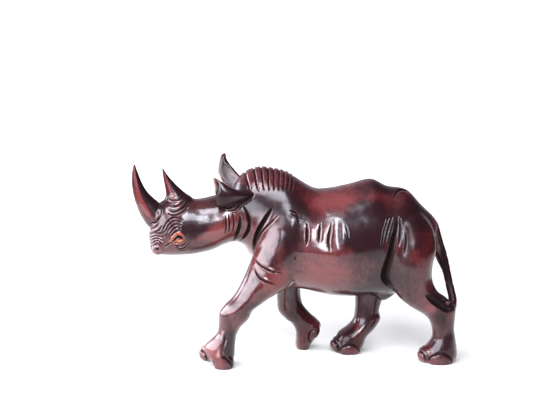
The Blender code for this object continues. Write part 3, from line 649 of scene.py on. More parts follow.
HORN_FOLDS = [
    [(-98.9, 94.9), (-96.5, 96.1), (-94.2, 97.5), (-92.5, 100.1), (-91.4, 103.5), (-90.9, 107.2)],
    [(-98.4, 91.8), (-97.3, 92.3), (-95.7, 93.4), (-94.1, 95), (-93.2, 96.6)],
    [(-98.6, 89.6), (-97.1, 89.9), (-95.2, 90.8), (-93.3, 92), (-91.6, 94.8)],
]
BROW_WAVES = [
    [(-90.4, 92.5), (-88.7, 96.4), (-85.9, 99.4), (-82.6, 100.3), (-79.6, 99.7), (-77.5, 98.2)],
    [(-89.1, 91.6), (-87, 95.5), (-84.3, 97.7), (-81.7, 98.2), (-79.1, 97)],
    [(-88.5, 89.7), (-86.4, 93.3), (-83.8, 95.7), (-81.5, 96.1), (-79.2, 94.9)],
    [(-87.1, 88.2), (-85.1, 91.5), (-82.9, 93.7), (-80.5, 93.8), (-79, 92.7)],
    [(-86, 87.4), (-84.3, 89.8), (-82.3, 91.5), (-80.3, 91.8)],
]
NOSE_WAVES = [
    [(-100, 88), (-97.8, 88.8), (-95, 90.1), (-92, 90.1), (-89.4, 91.2), (-87.4, 93.8)],
    [(-100, 86.2), (-97.8, 86.9), (-96.2, 88), (-93.8, 88.2), (-91.4, 87.4), (-88.8, 88.6)],
    [(-100, 84), (-97.6, 84.9), (-95.8, 86.3), (-93.9, 86.4), (-91.5, 85), (-89.8, 85.5)],
    [(-99.4, 81.6), (-97.1, 83), (-95.4, 84.7), (-93.6, 84.7), (-91.8, 83), (-90.6, 81)],
    [(-98.6, 80), (-96.3, 81.4), (-95, 83), (-93.5, 82.9), (-92.2, 81.2)],
]
REAR_HORN_ARCS = [
    [(-85.8, 112.2), (-83.7, 111), (-79.7, 111.1), (-75.2, 113.6)],
    [(-86, 108.3), (-83.5, 107), (-79.3, 108), (-74.2, 111)],
    [(-86.5, 105.2), (-83.7, 103.9), (-79.7, 104.9), (-74, 108.1)],
    [(-87.5, 102.9), (-84.1, 101.6), (-79.9, 102.5), (-74, 105.7)],
]
knife(HORN_FOLDS[0], 0.85, 1.1, head=True, lean=-0.3, ends=0.35)
for fold in HORN_FOLDS[1:]:
    knife(fold, 0.7, 0.8, head=True, raise_=0.3, ends=0.35)
for wave in BROW_WAVES + REAR_HORN_ARCS:
    wrinkle(wave, ends=0.35)
for wave in NOSE_WAVES:
    knife(wave, 0.62, 0.65, head=True, raise_=0.35, ends=0.35)
print("stained points:", int((stain_and_shade > 0.5).sum()))

# %% [markdown]
# ## Eye and mouth
# The eye is a small lens under a lid that rises to a peak. The carver scraped the stain off the
# lid and the ball, which shows the bare orange wood. Three short wrinkles lie below. The nostril
# is a ring with a pit, and a cut runs from it up to the eye.

# %% Cut the eye and the mouth
scraped_wood = np.zeros(len(wood))


def ridge(path, width, high, bare=1.0):
    """Raises a rounded ridge high x exp(-(gap / width)^2) along a path on both sides of the
    head, tapered like a cut, and marks it as scraped bare."""
    x, y, z = wood_on_head.T
    near = np.nonzero((np.hypot(x - path[0][0], z - path[0][1]) < 18) & (np.abs(y) > 3))[0]
    gap, share = gap_to(path, x[near], z[near])
    bump = np.exp(-((gap / width) ** 2)) * np.sin(math.pi * np.clip(share, 0.05, 0.95)) ** 0.5
    lip[near] += high * bump
    scraped_wood[near] = np.maximum(scraped_wood[near], bare * bump)


UPPER_LID = [(-87.3, 83), (-85.2, 86), (-83.2, 88.6), (-81.3, 90), (-79, 89.2), (-77.1, 87)]
ridge(UPPER_LID, 1.0, 0.7, bare=0.62)
ridge([(-84.6, 83.4), (-81.4, 82.9), (-77.8, 84.2)], 0.6, 0.4, bare=0.62)
ridge([(-82.3, 85), (-80.2, 84.9), (-77.7, 85.5)], 0.95, 0.5)
UNDER_LID = [(-84.9, 83.5), (-82.9, 86.1), (-80.8, 87.9), (-79, 87.2), (-77.5, 85.2)]
wrinkle(UNDER_LID, 0.7, 1.3, raise_=0.1)
wrinkle([(-83.9, 83.9), (-81.2, 83.5), (-78.2, 84.5)], 0.4, 0.6, raise_=0.1)
for path in ([(-84.3, 82.6), (-81.2, 81), (-78.2, 81.1), (-75, 84.4)],
             [(-82.9, 80.5), (-79.5, 78.9), (-76.2, 79.9), (-73, 83.8)],
             [(-81, 78.6), (-76.8, 77.7), (-72, 81.8)]):
    wrinkle(path, 0.6, 0.65)
wrinkle([(-91.1, 79.6), (-88.8, 81.1), (-86.8, 82.9), (-84.9, 84.2)], 0.7, 0.9)

NOSTRIL = (-94.2, 78.6)
x, y, z = wood_on_head.T
away = np.hypot((x - NOSTRIL[0]) / 1.15, z - NOSTRIL[1])
shown = ramp(np.abs(y), 1.0, 3.0) * (away < 6)
pit = 1.3 * np.exp(-((away / 0.8) ** 2)) + 0.5 * np.exp(-(((away - 3.1) / 0.5) ** 2))
depth[:] = np.maximum(depth, shown * pit)
lip += shown * 0.5 * np.exp(-(((away - 1.9) / 0.6) ** 2))
# The nostril's pit is inked dark, as stain and as painted shade.
stain_and_shade[:] = np.maximum(stain_and_shade, shown * ramp(1.2 - away, 0, 0.6))
print("deepest cut on the head", round(depth[wood_on_head[:, 0] < -60].max(), 1), "mm")

# %% [markdown]
# ## Cheek, and the bowl of the right ear
# Three thin curved cuts, a wider one and a long sickle mark the jaw's muscle in front of the neck,
# and two folds cross under the ear. The far ear's hollow faces the viewer and is scooped out.

# %% Cut the cheek and scoop the ear
for path in ([(-50.2, 101), (-49.6, 95.2), (-50.2, 88.1)],
             [(-47.7, 101.6), (-47.3, 95.2), (-47.9, 89.6)],
             [(-45, 101.7), (-44.2, 95.9), (-45.1, 89.4)]):
    wrinkle(path, 0.75, 1.0, raise_=0.2)
for path, width, deep in (
        ([(-40.5, 101.6), (-41, 94.5), (-42.4, 86.4), (-44, 81.6)], 1.3, 1.8),
        ([(-38.4, 107.4), (-35.5, 99.4), (-35.6, 91.7), (-39.2, 82.2)], 1.2, 2.2)):
    wrinkle(path, width, deep, lean=-0.3, raise_=0.06, ink_to=1.25)
wrinkle([(-51.3, 107), (-46.4, 105.6), (-41.2, 109.3)], 0.7, 0.9)
wrinkle([(-48, 103.9), (-44, 104.7), (-39.6, 108.2)], 0.65, 0.8)
EAR_HOLLOW = [(-37.8, 118.3), (-42.6, 122.3), (-46.1, 126.5), (-47.9, 129.9), (-48.2, 133.4),
              (-48, 136.6)]


def bowl(path, width, deep, beyond):
    """Scoops the side that faces left, in the wood to the right of a plane: the depth is
    deep (1 - (gap / width)^2)."""
    near = np.nonzero((wood[:, 1] > beyond) & (wood[:, 2] > 112) & (wood[:, 0] < -30))[0]
    gap, _ = gap_to(path, wood[near, 0], wood[near, 2])
    shown = ramp(wood[near, 1], beyond, beyond + 2) * ramp(-outward[near, 1], -0.1, 0.25)
    scoop = np.maximum(1 - (gap / width) ** 2, 0) * shown
    depth[near] = np.maximum(depth[near], deep * scoop)


bowl(EAR_HOLLOW, 4.8, 1.8, 4.0)
print("points scooped or cut:", int((depth > 0.2).sum()))

# %% [markdown]
# ## Toenails, tail and hock
# A nail is the part of a toe's egg that faces outwards within a cone about the nail's direction,
# and the groove runs round that cone. The nail itself stands slightly proud of the foot. One cut
# runs round the right fore foot's toe and one pares the left one's instep to an edge. The tail is
# scored along its length, and a hollow is cut between the hock and the tuft.

# %% Cut the nails and the edges of the feet
NAILS = [
    ("left fore, front", -165, 50), ("left fore, outer", -102, 60), ("left fore, inner", 100, 56),
    ("left hind, front", -165, 46), ("left hind, outer", -100, 58), ("left hind, inner", 98, 56),
    ("right hind, front", -168, 56), ("right hind, inner", -95, 58), ("right hind, outer", 98, 56),
]
NAIL_TILT, NAIL_BORDER, NAIL_DEPTH, NAIL_HEIGHT = -0.32, 9.0, 0.95, 0.15
nail = np.zeros(len(wood))
for toe, heading, opening in NAILS:
    x, z, y, along, up, out = TOES[toe]
    arm = (wood - (x, y, z)) / (along, out, up)
    reach = np.linalg.norm(arm, axis=1)
    near = np.nonzero((reach < 1.3) & (reach > 0.7))[0]
    way = np.array([math.cos(math.radians(heading)), math.sin(math.radians(heading)), NAIL_TILT])
    facing = arm[near] @ (way / np.linalg.norm(way)) / reach[near]
    angle = np.degrees(np.arccos(np.clip(facing, -1, 1)))
    on_toe = 1 - ramp(reach[near], 1.12, 1.3)
    groove = np.maximum(1 - np.abs(angle - opening) / NAIL_BORDER, 0) * on_toe
    groove = groove * ramp(wood[near, 2], 0.8, 3.0)
    depth[near] = np.maximum(depth[near], NAIL_DEPTH * groove)
    # The groove round each nail is inked dark, as stain and as painted shade.
    stain_and_shade[near] = np.maximum(stain_and_shade[near], ramp(groove, 0.15, 0.7))
    plate = ramp(opening - 6 - angle, 0, 6) * on_toe
    lip[near] += NAIL_HEIGHT * plate
    nail[near] = np.maximum(nail[near], plate)
left([(16.8, 15.8), (12.6, 14.8), (11.2, 11), (12, 7), (14.4, 3.2)], 1.0, 1.0, middle=19.0)
left([(-46.6, 25.6), (-47.4, 19.6), (-48.8, 14.4), (-50, 9.8)], 3.0, 1.1, middle=-22.0,
     lean=0.5, raise_=0.0, ends=0.3, inked=0.0)
print("points on the nails:", int((nail > 0.5).sum()))

# %% Score the tail and hollow the hock
both([(97, 86), (101.6, 72), (104.6, 60), (107, 48), (108.2, 38)], 0.6, 0.5, middle=-1.0)
left([(99.2, 74), (103.4, 60), (105.8, 50), (107, 42)], 0.5, 0.4, middle=-1.0)
HOCK_HOLLOW = [(85.6, 48.4), (90.4, 43.6), (95.4, 40.2), (99.6, 37.4), (103.2, 37.8)]
left(HOCK_HOLLOW, 2.5, 2.3, middle=-14.0, lean=-0.35, ends=0.4, raise_=0.0, ink_to=1.5)
left([(90.8, 45.2), (94, 41.4), (97.2, 38.4)], 1.1, 2.9, middle=-14.0, raise_=0.0, ink_to=1.3)
left([(94.6, 44.8), (98.4, 42.6), (101, 43.4), (103.6, 41.6)], 0.9, 1.0, middle=-12.0, ink_to=1.2)
left([(99.6, 40.2), (102.2, 39.6), (104.4, 41.4)], 0.8, 0.9, middle=-12.0)
print("deepest cut", round(depth.max(), 1), "mm")

# %% [markdown]
# ## The scraper's marks, and cutting it all in
# No hand-scraped surface is even. A sum of a few slow waves in seeded directions stands for the
# scraper's passes: it moves the wood by a tenth of a millimetre, which gloss turns into living
# highlights. Then every point moves along its normal by its lips less its cuts.

# %% Move the wood
SCRAPER = np.random.default_rng(7)


def scraped(places, length, waves=14):
    """The mean of sines of the place along random directions, over waves of about the length."""
    ways = SCRAPER.normal(size=(waves, 3))
    speeds = (2 * math.pi / length) * SCRAPER.uniform(0.6, 1.5, (waves, 1))
    ways *= speeds / np.linalg.norm(ways, axis=1, keepdims=True)
    starts = SCRAPER.uniform(0, 2 * math.pi, waves)
    return np.sin(places @ ways.T + starts).mean(axis=1) * math.sqrt(2)


# Each term is a height in mm times waves of a length in mm. The fourth one makes the lips uneven.
unevenness = 0.16 * scraped(wood, 17.0) + 0.07 * scraped(wood, 7.0)
x, y, z = wood.T
on_tail = ramp(x, 97.0, 101.0) * ramp(z, 36.0, 40.0) * (1 - ramp(z, 72.0, 84.0))
unevenness += 0.35 * on_tail * scraped(wood, 5.0)
in_cut = ramp(depth, 0.05, 0.4)
lip *= 1 + 0.45 * scraped(wood, 6.0)
unevenness += 0.022 * scraped(wood, 2.8)
rise = lip * (1 - in_cut) - depth - pared + unevenness * (1 - in_cut)
put(figure.data, wood + outward * rise[:, None])
evened(figure.data, rounds=2)
print("the wood moved by", np.round([rise.min(), rise.max()], 1), "mm")

# %% [markdown]
# ## Where the colour changes
# The stain is brushed on dark, rubbed off the high places and left in the cuts, and shade and
# highlights are painted in as well. These maps are worked out from the carving itself and stored on
# the mesh, one number a point, for the material to read. The six maps are ink in the cuts, which is
# stain and painted shade; dull places where the lacquer is thin; scraped wood round the eye;
# painted highlights on lit edges, with some pale wear; worn rosy ridges with painted highlight
# lines on the crest; and the tone of the smoke, with painted shade and highlights in it.

# %% Store the maps
def spot(x, z, cx, cz, rx, rz):
    """1 in the middle of a soft oval and exp(-(squared share of its radii)) away from it."""
    return np.exp(-(((x - cx) / rx) ** 2 + ((z - cz) / rz) ** 2))


def store(name, values):
    """Keeps one number for each point on the mesh under this name."""
    layer = figure.data.attributes.new(name, "FLOAT", "POINT")
    layer.data.foreach_set("value", np.clip(values, 0, 1).astype(np.float32))


def beside(path, spots, before, after):
    """The points whose side view lies in the path's box, widened by before and after."""
    low, high = np.min(path, axis=0) - before, np.max(path, axis=0) + after
    return ((spots[:, [0, 2]] > low) & (spots[:, [0, 2]] < high)).all(axis=1)


def streak(path, reach, side):
    """exp(-(gap / reach)^2) from a path, on one side of the animal."""
    near = np.nonzero(beside(path, wood, 3 * reach, 3 * reach) & (side * wood[:, 1] > 4))[0]
    gap, _ = gap_to(path, wood[near, 0], wood[near, 2])
    mask = np.zeros(len(wood))
    mask[near] = np.exp(-((gap / reach) ** 2))
    return mask


nose_ring = spot(*wood_on_head[:, [0, 2]].T, *NOSTRIL, 3.4, 3.0) * ramp(lip, 0.02, 0.2)
# Worn ridges get a rosier colour, and the pale lines behind the crest's cuts join them as painted
# highlights.
worn_and_crest_highlights = np.maximum(ramp(lip, 0.08, 0.3), crest_highlight_lines) * (1 - in_cut) * (1 - ramp(depth, 0.0, 0.2))
# Pale streaks are (path, reach, side, how pale). Most are painted highlights on lit edges: the fore
# foot's edge, the rims of both ears, the right ear's bowl, the wood behind the flank's cut and the
# fore foot's front. The one on the tail's tuft is pale wear.
HIGHLIGHT_AND_WEAR_STREAKS = [
    ([(-49, 24.5), (-49.7, 19.4), (-51.1, 14.3), (-52.3, 9.7)], 1.1, LEFT, 0.55),
    ([(-55.8, 126.6), (-54.9, 122), (-54.6, 118.5)], 1.3, LEFT, 0.9),
    ([(-50.6, 134), (-51.2, 128), (-50, 122.5)], 0.9, RIGHT, 0.7),
    ([(-45.6, 121), (-42, 117.6), (-38.6, 115)], 2.4, RIGHT, 0.35),
    ([(98, 42.6), (101, 41.6), (104, 42.6)], 0.9, LEFT, 0.2),
    ([(65.4, 91), (64.4, 84), (63, 76)], 1.4, LEFT, 0.1),
    ([(-61, 12), (-57, 15), (-53.4, 20)], 4.0, LEFT, 0.08),
]
highlight_and_wear = sum(amount * streak(path, reach, side) for path, reach, side, amount in HIGHLIGHT_AND_WEAR_STREAKS)
# Each cloud is (x, z, reach along x, reach along z, tone), with a tone under 0 for dark. Some are
# the stain's uneven tone; many paint shade, dark reflections and sheen into it, such as the dark
# flank, the darkened shoulder top and the pale nose.
TONE_AND_LIGHT_CLOUDS = [
    (46, 90, 15, 13, -0.38), (76, 98, 14, 14, -0.2), (-66, 93, 8, 7, -0.34),
    (-54, 90, 8, 5, 0.2), (32, 79, 7, 4, 0.16), (20, 62, 28, 11, 0.2), (28, 110, 28, 6, 0.23),
    (-5, 88, 6, 11, -0.24), (-30, 108, 9, 9, -0.2), (-46, 114, 12, 7, -0.34),
    (104, 60, 6, 26, -0.26), (50, 50, 14, 8, -0.14), (-46, 16, 7, 9, -0.14),
    (62, 118, 14, 4, -0.2), (44, 62, 12, 9, -0.1), (-3, 117, 8, 8, -0.14),
    (60, 60, 8, 12, -0.12), (52, 24, 12, 16, -0.14), (4, 30, 9, 14, -0.12),
    (-14, 109, 13, 7, -0.3), (1, 102, 7, 9, -0.26), (-44.5, 16, 3, 9, -0.34),
    (-57, 12, 6, 8, 0.22), (-71.5, 91.5, 5, 4, -0.4), (-62, 96, 7, 2.5, -0.2),
    (-62, 86.5, 5, 3, 0.16), (-53, 93, 4, 3, 0.12), (-94, 88, 5, 8, 0.2), (98, 12, 12, 9, -0.12),
    (40, 10, 12, 10, -0.14), (46, 106, 10, 4, -0.34), (89, 38, 4, 4, 0.26), (104, 34, 5, 6, 0.16),
    (94, 44, 8, 8, -0.14), (98, 20, 10, 14, -0.06), (-36, 40, 14, 16, -0.02),
    (-48, 128, 6, 10, -0.1),
]
# The tone mixes the stain's uneven clouds with painted shade and painted highlights.
tone_and_light = 0.5 + sum(amount * spot(x, z, *place) for *place, amount in TONE_AND_LIGHT_CLOUDS)
# Each horn has a painted highlight along its middle and painted shade behind it. Half is half its
# width below.
HORN_HIGHLIGHT_LINES = [([(-96, 99), (-100.5, 107), (-104.4, 115), (-106.6, 124), (-107.6, 134)], 5.6),
              ([(-77, 104), (-80.6, 112), (-84.8, 120), (-88.2, 130)], 5.2)]
for line, half in HORN_HIGHLIGHT_LINES:
    near = np.nonzero(beside(line, wood_on_head, (5, 0), (7, 2)))[0]
    gap, share = gap_to(line, wood_on_head[near, 0], wood_on_head[near, 2])
    gap /= half * (1 - share) + 0.7
    shading = 0.30 * np.exp(-(((gap + 0.25) / 0.3) ** 2)) - 0.34 * ramp(gap, 0.0, 0.25)
    tone_and_light[near] += ramp(share, 0.02, 0.2) * shading
on_horn = ramp(-wood_on_head[:, 0], 84.0, 88.0) * ramp(z, 106.0, 112.0)
on_horn = on_horn + ramp(z, 112.0, 117.0) * ramp(-x, 68.0, 72.0)
on_ear = spot(x, z, -48, 114, 8, 7) * ramp(-y, 18.0, 21.0)
# Where the lacquer was rubbed back: (x, z, reach along x, reach along z, share).
RUBBED = [
    (-6, 88, 6, 10, 0.95), (-1, 107, 8, 7, 0.75), (46, 103, 10, 6, 0.9), (47, 88, 14, 12, 0.95),
    (83, 79, 10, 13, 0.9), (98, 32, 9, 10, 0.4), (-17, 108, 12, 6, 0.7), (-13, 62, 9, 9, 0.5),
    (-47, 130, 5, 8, 0.6), (-70, 98, 6, 5, 0.6), (-68, 88, 5, 4, 0.7), (96, 8, 14, 12, 0.3),
    (40, 10, 13, 12, 0.6), (50, 34, 9, 12, 0.4), (-22, 112, 12, 6, 0.55), (76, 91, 9, 12, 0.85),
    (-52, 12, 10, 10, 0.35), (10, 12, 10, 10, 0.5), (4, 32, 10, 14, 0.4),
]
dull = np.maximum(0.75 * np.minimum(on_horn, 1), 0.8 * on_tail)
dull = np.maximum(dull, np.maximum(0.6 * on_ear, 0.8 * ramp(stain_and_shade, 0.3, 0.9)))
for *place, amount in RUBBED:
    dull = np.maximum(dull, amount * spot(x, z, *place))
MAPS = {"ink": stain_and_shade, "dull": dull, "scraped": scraped_wood * (1 - ramp(stain_and_shade, 0.5, 0.9)),
        "highlight_and_wear": highlight_and_wear * (1 - in_cut), "tone_and_light": tone_and_light,
        "worn_and_crest_highlights": np.maximum(np.maximum(worn_and_crest_highlights, 0.35 * nail), nose_ring)}
for name, values in MAPS.items():
    store(name, values)
print("maps:", ", ".join(MAPS))

# %% [markdown]
# ## Thinning, sawing the soles and setting it down
# The mesh is thinned by collapsing the edges that change the shape least. Then the figure is sawn
# flat on the ground plane and each sole is closed, as a carver trues the feet on a sanding board.
# Last, it is set into the solid's box, so that the looks keep the model's size to a hair.

# %% Thin, saw and set down
worked(figure, "DECIMATE", ratio=KEPT_TRIANGLES / (2 * len(figure.data.polygons)))
bm = bmesh.new()
bm.from_mesh(figure.data)
everything = bm.verts[:] + bm.edges[:] + bm.faces[:]
bmesh.ops.bisect_plane(bm, geom=everything, plane_no=(0, 0, 1), clear_inner=True)
soles = bmesh.ops.holes_fill(bm, edges=[edge for edge in bm.edges if edge.is_boundary])["faces"]
for sole in soles:
    for vertex in sole.verts:
        vertex.co.z = 0.0
bmesh.ops.triangulate(bm, faces=soles)
bmesh.ops.recalc_face_normals(bm, faces=bm.faces)
bm.to_mesh(figure.data)
bm.free()

HAIR = 0.02
places = vectors(figure.data, "co")
low, high = places.min(axis=0), places.max(axis=0)
floor_z = np.array([0, 0, HAIR])
goal_low, goal_high = (np.array(corner) / MM for corner in cad_box)
goal_low, goal_high = goal_low + HAIR - floor_z, goal_high - HAIR
grow = (goal_high - goal_low) / (high - low)
put(figure.data, goal_low + (places - low) * grow)
figure.data.shade_smooth()
print(len(figure.data.polygons), "faces, grown by", np.round(grow, 4))

# %% [markdown]
# ## The finish
# Dark rosy hardwood under a black-brown stain and a clear gloss. Three things make it read as wood
# and not plastic: fine pores along the grain, a smoky mottling where the stain took unevenly, and a
# clear coat that is smoother than the wood and thinner where it was rubbed. Shade and highlights
# are also painted into the colour. Each effect is a group of nodes with named inputs, placed in the
# material with its own values.

# %% Node helpers
def new_group(name, inputs, outputs):
    """An empty shader group with these sockets: name and kind of each, and a start value."""
    group = bpy.data.node_groups.new(name, "ShaderNodeTree")
    for socket, kind, start in inputs:
        made = group.interface.new_socket(socket, in_out="INPUT", socket_type="NodeSocket" + kind)
        if start is not None:
            made.default_value = start
    for socket, kind in outputs:
        group.interface.new_socket(socket, in_out="OUTPUT", socket_type="NodeSocket" + kind)
    return group, group.nodes.new("NodeGroupInput"), group.nodes.new("NodeGroupOutput")


def fill(made, values):
    """Puts values on a node's inputs, by name or number. A value may be another node's output."""
    for socket, value in values.items():
        if isinstance(value, bpy.types.NodeSocket):
            made.id_data.links.new(value, made.inputs[socket])
        else:
            made.inputs[socket].default_value = value


def node(tree, kind, values=None, **settings):
    """A shader node with its settings, and with values on its inputs."""
    made = tree.nodes.new("ShaderNode" + kind)
    for name, value in settings.items():
        setattr(made, name, value)
    fill(made, values or {})
    return made


def mathed(tree, operation, *values):
    """The result of a Math node on these values."""
    return node(tree, "Math", dict(enumerate(values)), operation=operation).outputs[0]


def blended(tree, share, first, second):
    """A colour that goes from first to second with the share."""
    return node(tree, "Mix", {0: share, 6: first, 7: second}, data_type="RGBA").outputs[2]


def sloped(tree, value, start, end, low=0.0, high=1.0):
    """low up to start, high from end on, and a smooth slope between."""
    values = {0: value, 1: start, 2: end, 3: low, 4: high}
    return node(tree, "MapRange", values, interpolation_type="SMOOTHSTEP").outputs[0]


print("node helpers ready")

# %% [markdown]
# **Pores.** In this wood they are short dark streaks along the block, which runs from horn to
# tail. Noise that is stretched along X gives them. The group returns how dark a pore is, for the
# colour, and a height for the bump.

# %% Group: grain of the wood
grain, entry, result = new_group(
    "wood grain",
    [("Along", "Float", 9.0), ("Across", "Float", 900.0)],
    [("Pores", "Float"), ("Height", "Float")])
place = node(grain, "TexCoord").outputs["Object"]
slower = mathed(grain, "DIVIDE", 1.0, entry.outputs["Along"])
stretch = node(grain, "CombineXYZ", {0: slower, 1: 1.0, 2: 1.0}).outputs[0]
scaled = node(grain, "VectorMath", {0: place, 1: stretch}, operation="MULTIPLY").outputs[0]
streaks = node(grain, "TexNoise", {"Vector": scaled, "Scale": entry.outputs["Across"],
                                   "Detail": 3.0, "Roughness": 0.6, "Distortion": 0.3}).outputs[0]
fill(result, {"Pores": sloped(grain, streaks, 0.56, 0.72),
              "Height": sloped(grain, streaks, 0.3, 0.7, 1.0, 0.0)})
print("group:", grain.name)

# %% [markdown]
# ** Smoke.** The stain was wiped, so it lies in soft clouds: a slow noise, pushed about by itself, plus fine flecks drawn out upright, moved by the stored tone, which also carries painted shade and painted highlights, and sorted into dark, middle, light.

# %% Group: smoky stain
smoke, entry, result = new_group(
    "smoky stain",
    [("Size", "Float", 34.0), ("Tone", "Float", 0.5), ("Dark", "Color", (0.010, 0.003, 0.004, 1)),
     ("Middle", "Color", (0.030, 0.0046, 0.0052, 1)),
     ("Light", "Color", (0.080, 0.0150, 0.0150, 1))],
    [("Color", "Color"), ("Clouds", "Float")])
place = node(smoke, "TexCoord").outputs["Object"]
clouds = node(smoke, "TexNoise", {"Vector": place, "Scale": entry.outputs["Size"],
                                  "Detail": 5.0, "Roughness": 0.6, "Distortion": 0.9}).outputs[0]
upright = node(smoke, "VectorMath", {0: place, 1: (1.0, 1.0, 0.4)}, operation="MULTIPLY").outputs[0]
flecks = node(smoke, "TexNoise", {"Vector": upright, "Scale": 560.0, "Detail": 4.0,
                                  "Roughness": 0.7}).outputs[0]
mottling = mathed(smoke, "ADD", clouds, mathed(smoke, "MULTIPLY_ADD", flecks, 0.42, -0.21))
shift = sloped(smoke, entry.outputs["Tone"], 0.0, 1.0, -0.5, 0.5)
toned = mathed(smoke, "ADD", mottling, shift)
lower = blended(smoke, sloped(smoke, toned, 0.26, 0.54), entry.outputs["Dark"],
                entry.outputs["Middle"])
upper = blended(smoke, sloped(smoke, toned, 0.42, 0.80), lower, entry.outputs["Light"])
fill(result, {"Color": upper, "Clouds": toned})
print("group:", smoke.name)

# %% [markdown]
# ** The lacquered wood itself.** The smoke gives its colour, with painted shade and painted highlights in its tone. Worn lips go rosier, with painted highlight lines on the crest, lit edges get a pale painted highlight and the tail's tuft pale wear, the scraped eye goes orange, pores darken it, and ink fills the cuts with stain and painted shade. The clear coat is the shader's own, smoother than the wood, and has less weight where it is dull or the smoke is dark.

# %% Material: lacquered wood
finish = bpy.data.materials.new("lacquered hardwood")
finish.use_nodes = True
tree = finish.node_tree
shader = tree.nodes["Principled BSDF"]
fill(shader, {"Specular IOR Level": 0.03, "Coat Roughness": 0.19, "Coat IOR": 1.5})


def stored(name):
    """A number that the carving stored on the mesh."""
    return node(tree, "Attribute", attribute_name=name).outputs["Fac"]


grain_here = node(tree, "Group", node_tree=grain)
fill(grain_here, {"Along": 10.0, "Across": 1100.0})
smoke_here = node(tree, "Group", node_tree=smoke)
fill(smoke_here, {"Size": 38.0, "Tone": stored("tone_and_light")})
pores, smoky = grain_here.outputs["Pores"], smoke_here.outputs["Clouds"]
colour = smoke_here.outputs["Color"]
# Of these colours the pale one paints highlights on lit edges, and the near-black ink paints shade
# in and beside the cuts as well as stain.
for share, pigment in (
        (sloped(tree, stored("worn_and_crest_highlights"), 0.0, 1.0, 0.0, 0.6), (0.095, 0.032, 0.037, 1)),
        (stored("highlight_and_wear"), (0.42, 0.24, 0.23, 1)),
        (sloped(tree, stored("scraped"), 0.1, 0.5), (0.19, 0.04, 0.014, 1)),
        (sloped(tree, stored("scraped"), 0.6, 0.98), (0.55, 0.24, 0.045, 1)),
        (sloped(tree, pores, 0.0, 1.0, 0.0, 0.45), (0.01, 0.005, 0.005, 1)),
        (sloped(tree, stored("ink"), 0.15, 0.8, 0.0, 0.96), (0.006, 0.003, 0.003, 1))):
    colour = blended(tree, share, colour, pigment)
coat = mathed(tree, "MULTIPLY", sloped(tree, stored("dull"), 0.0, 1.0, 1.0, 0.0),
              sloped(tree, smoky, 0.25, 0.6, 0.62, 1.0))
bump = node(tree, "Bump", {"Strength": 0.2, "Distance": 0.0003,
                           "Height": grain_here.outputs["Height"]})
fill(shader, {"Base Color": colour, "Coat Weight": coat, "Normal": bump.outputs["Normal"],
              "Roughness": sloped(tree, smoky, 0.3, 0.7, 0.42, 0.30)})
figure.data.materials.clear()
figure.data.materials.append(finish)
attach(figure, "root")
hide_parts("rhinoceros")
print("material:", finish.name)

# %% [markdown]
# ## Floor, light and camera
# A pale floor and a white sky give the soft light of a small studio. A dark, glossy thing is seen
# by what it mirrors, so the room behind the camera is dark and three windows stand in it: a wide
# one far to the left, and two small ones over the camera that make the crisp highlights.

# %% Floor
floor_mesh = bpy.data.meshes.new("floor")
FAR, TAIL_SIDE, NEAR_SIDE = 4.0, 0.45, -0.40
corners = [(-FAR, NEAR_SIDE, 0), (TAIL_SIDE, NEAR_SIDE, 0), (TAIL_SIDE, FAR, 0), (-FAR, FAR, 0)]
floor_mesh.from_pydata(corners, [], [(0, 1, 2, 3)])
floor = bpy.data.objects.new("floor", floor_mesh)
bpy.context.scene.collection.objects.link(floor)
paper = bpy.data.materials.new("pale paper")
paper.use_nodes = True
tree = paper.node_tree
apart = node(tree, "VectorMath", {0: node(tree, "TexCoord").outputs["Object"]}, operation="LENGTH")
afar = sloped(tree, apart.outputs["Value"], 0.25, 1.0, 0.02, 1.0)
seen = node(tree, "LightPath").outputs["Is Camera Ray"]
glow = node(tree, "Mix", {0: seen, 2: 0.6, 3: afar}, data_type="FLOAT").outputs[0]
fill(tree.nodes["Principled BSDF"], {
    "Base Color": (0.51, 0.515, 0.475, 1), "Roughness": 0.9,
    "Emission Color": (0.95, 0.95, 1.0, 1), "Emission Strength": glow})
floor_mesh.materials.append(paper)
print("floor from", NEAR_SIDE, "to", FAR, "m")

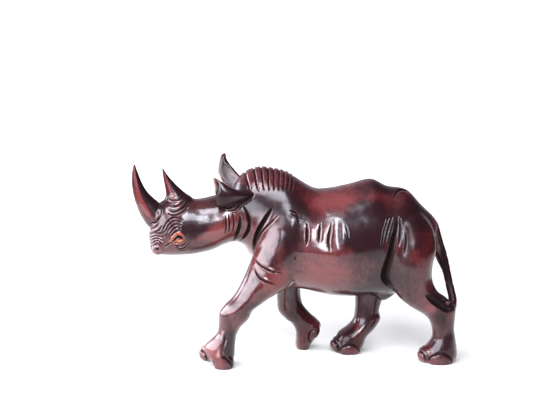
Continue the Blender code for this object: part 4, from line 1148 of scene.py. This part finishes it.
# %% Sky and windows
world = bpy.data.worlds.new("studio")
bpy.context.scene.world = world
world.use_nodes = True
sky = world.node_tree
around = node(sky, "TexCoord").outputs["Generated"]
height = node(sky, "SeparateXYZ", {0: around}).outputs["Z"]
depthwise = node(sky, "VectorMath", {0: around, 1: (-0.5, 0.85, 0.0)}, operation="DOT_PRODUCT")
behind = sloped(sky, depthwise.outputs["Value"], 0.15, 0.7, 0.0, 1.0)
brightest = mathed(sky, "MAXIMUM", behind, sloped(sky, height, 0.85, 1.0, 0.0, 0.5))
shade = blended(sky, brightest, (0.08, 0.075, 0.085, 1), (1.1, 1.05, 1.2, 1))
seen = node(sky, "LightPath").outputs["Is Camera Ray"]
fill(sky.nodes["Background"], {"Color": blended(sky, seen, shade, (1, 1, 1, 1)), "Strength": 1.0})


def window(name, azimuth, elevation, away, size, power):
    """A soft area light that hangs in a direction from the figure's middle and faces it.
    Azimuth 0 is the camera's side, and it grows towards the tail."""
    a, e = math.radians(azimuth), math.radians(elevation)
    way = np.array([math.sin(a) * math.cos(e), -math.cos(a) * math.cos(e), math.sin(e)])
    lamp = bpy.data.lights.new(name, "AREA")
    lamp.shape = "RECTANGLE"
    lamp.size, lamp.size_y = size
    lamp.energy = power
    lamp.color = (0.97, 0.98, 1.09)
    held = bpy.data.objects.new(name, lamp)
    bpy.context.scene.collection.objects.link(held)
    middle = np.array([0.0, 0.0, 0.08])
    held.location = middle + away * way
    held.rotation_euler = (math.pi / 2 - e, 0, a)


# Each window is (name, azimuth, elevation, metres away, width and height, watts).
WINDOWS = [
    ("left_window", -75, 24, 1.1, (2.8, 0.7), 85.0),
    ("front_window", 1, 30, 1.1, (0.23, 0.47), 16.0),
    ("upper_window", -13, 54, 1.1, (0.40, 0.36), 10.5),
]
for row in WINDOWS:
    window(*row)
bpy.context.scene.view_settings.view_transform = "Standard"
print("windows:", len(WINDOWS))

# %% Camera
lens = bpy.data.cameras.new("camera")
lens.lens, lens.sensor_width = 75, 36
camera = bpy.data.objects.new("camera", lens)
bpy.context.scene.collection.objects.link(camera)
VIEW_AZIMUTH, VIEW_ELEVATION, VIEW_DISTANCE = math.radians(-3), math.radians(8), 0.750
target = np.array([-0.02017, 0.00024, 0.106])
back = np.array([math.sin(VIEW_AZIMUTH) * math.cos(VIEW_ELEVATION),
                 -math.cos(VIEW_AZIMUTH) * math.cos(VIEW_ELEVATION), math.sin(VIEW_ELEVATION)])
camera.location = target + VIEW_DISTANCE * back
camera.rotation_euler = (math.pi / 2 - VIEW_ELEVATION, 0, VIEW_AZIMUTH)
bpy.context.scene.camera = camera
print("camera at", np.round(camera.location, 3))
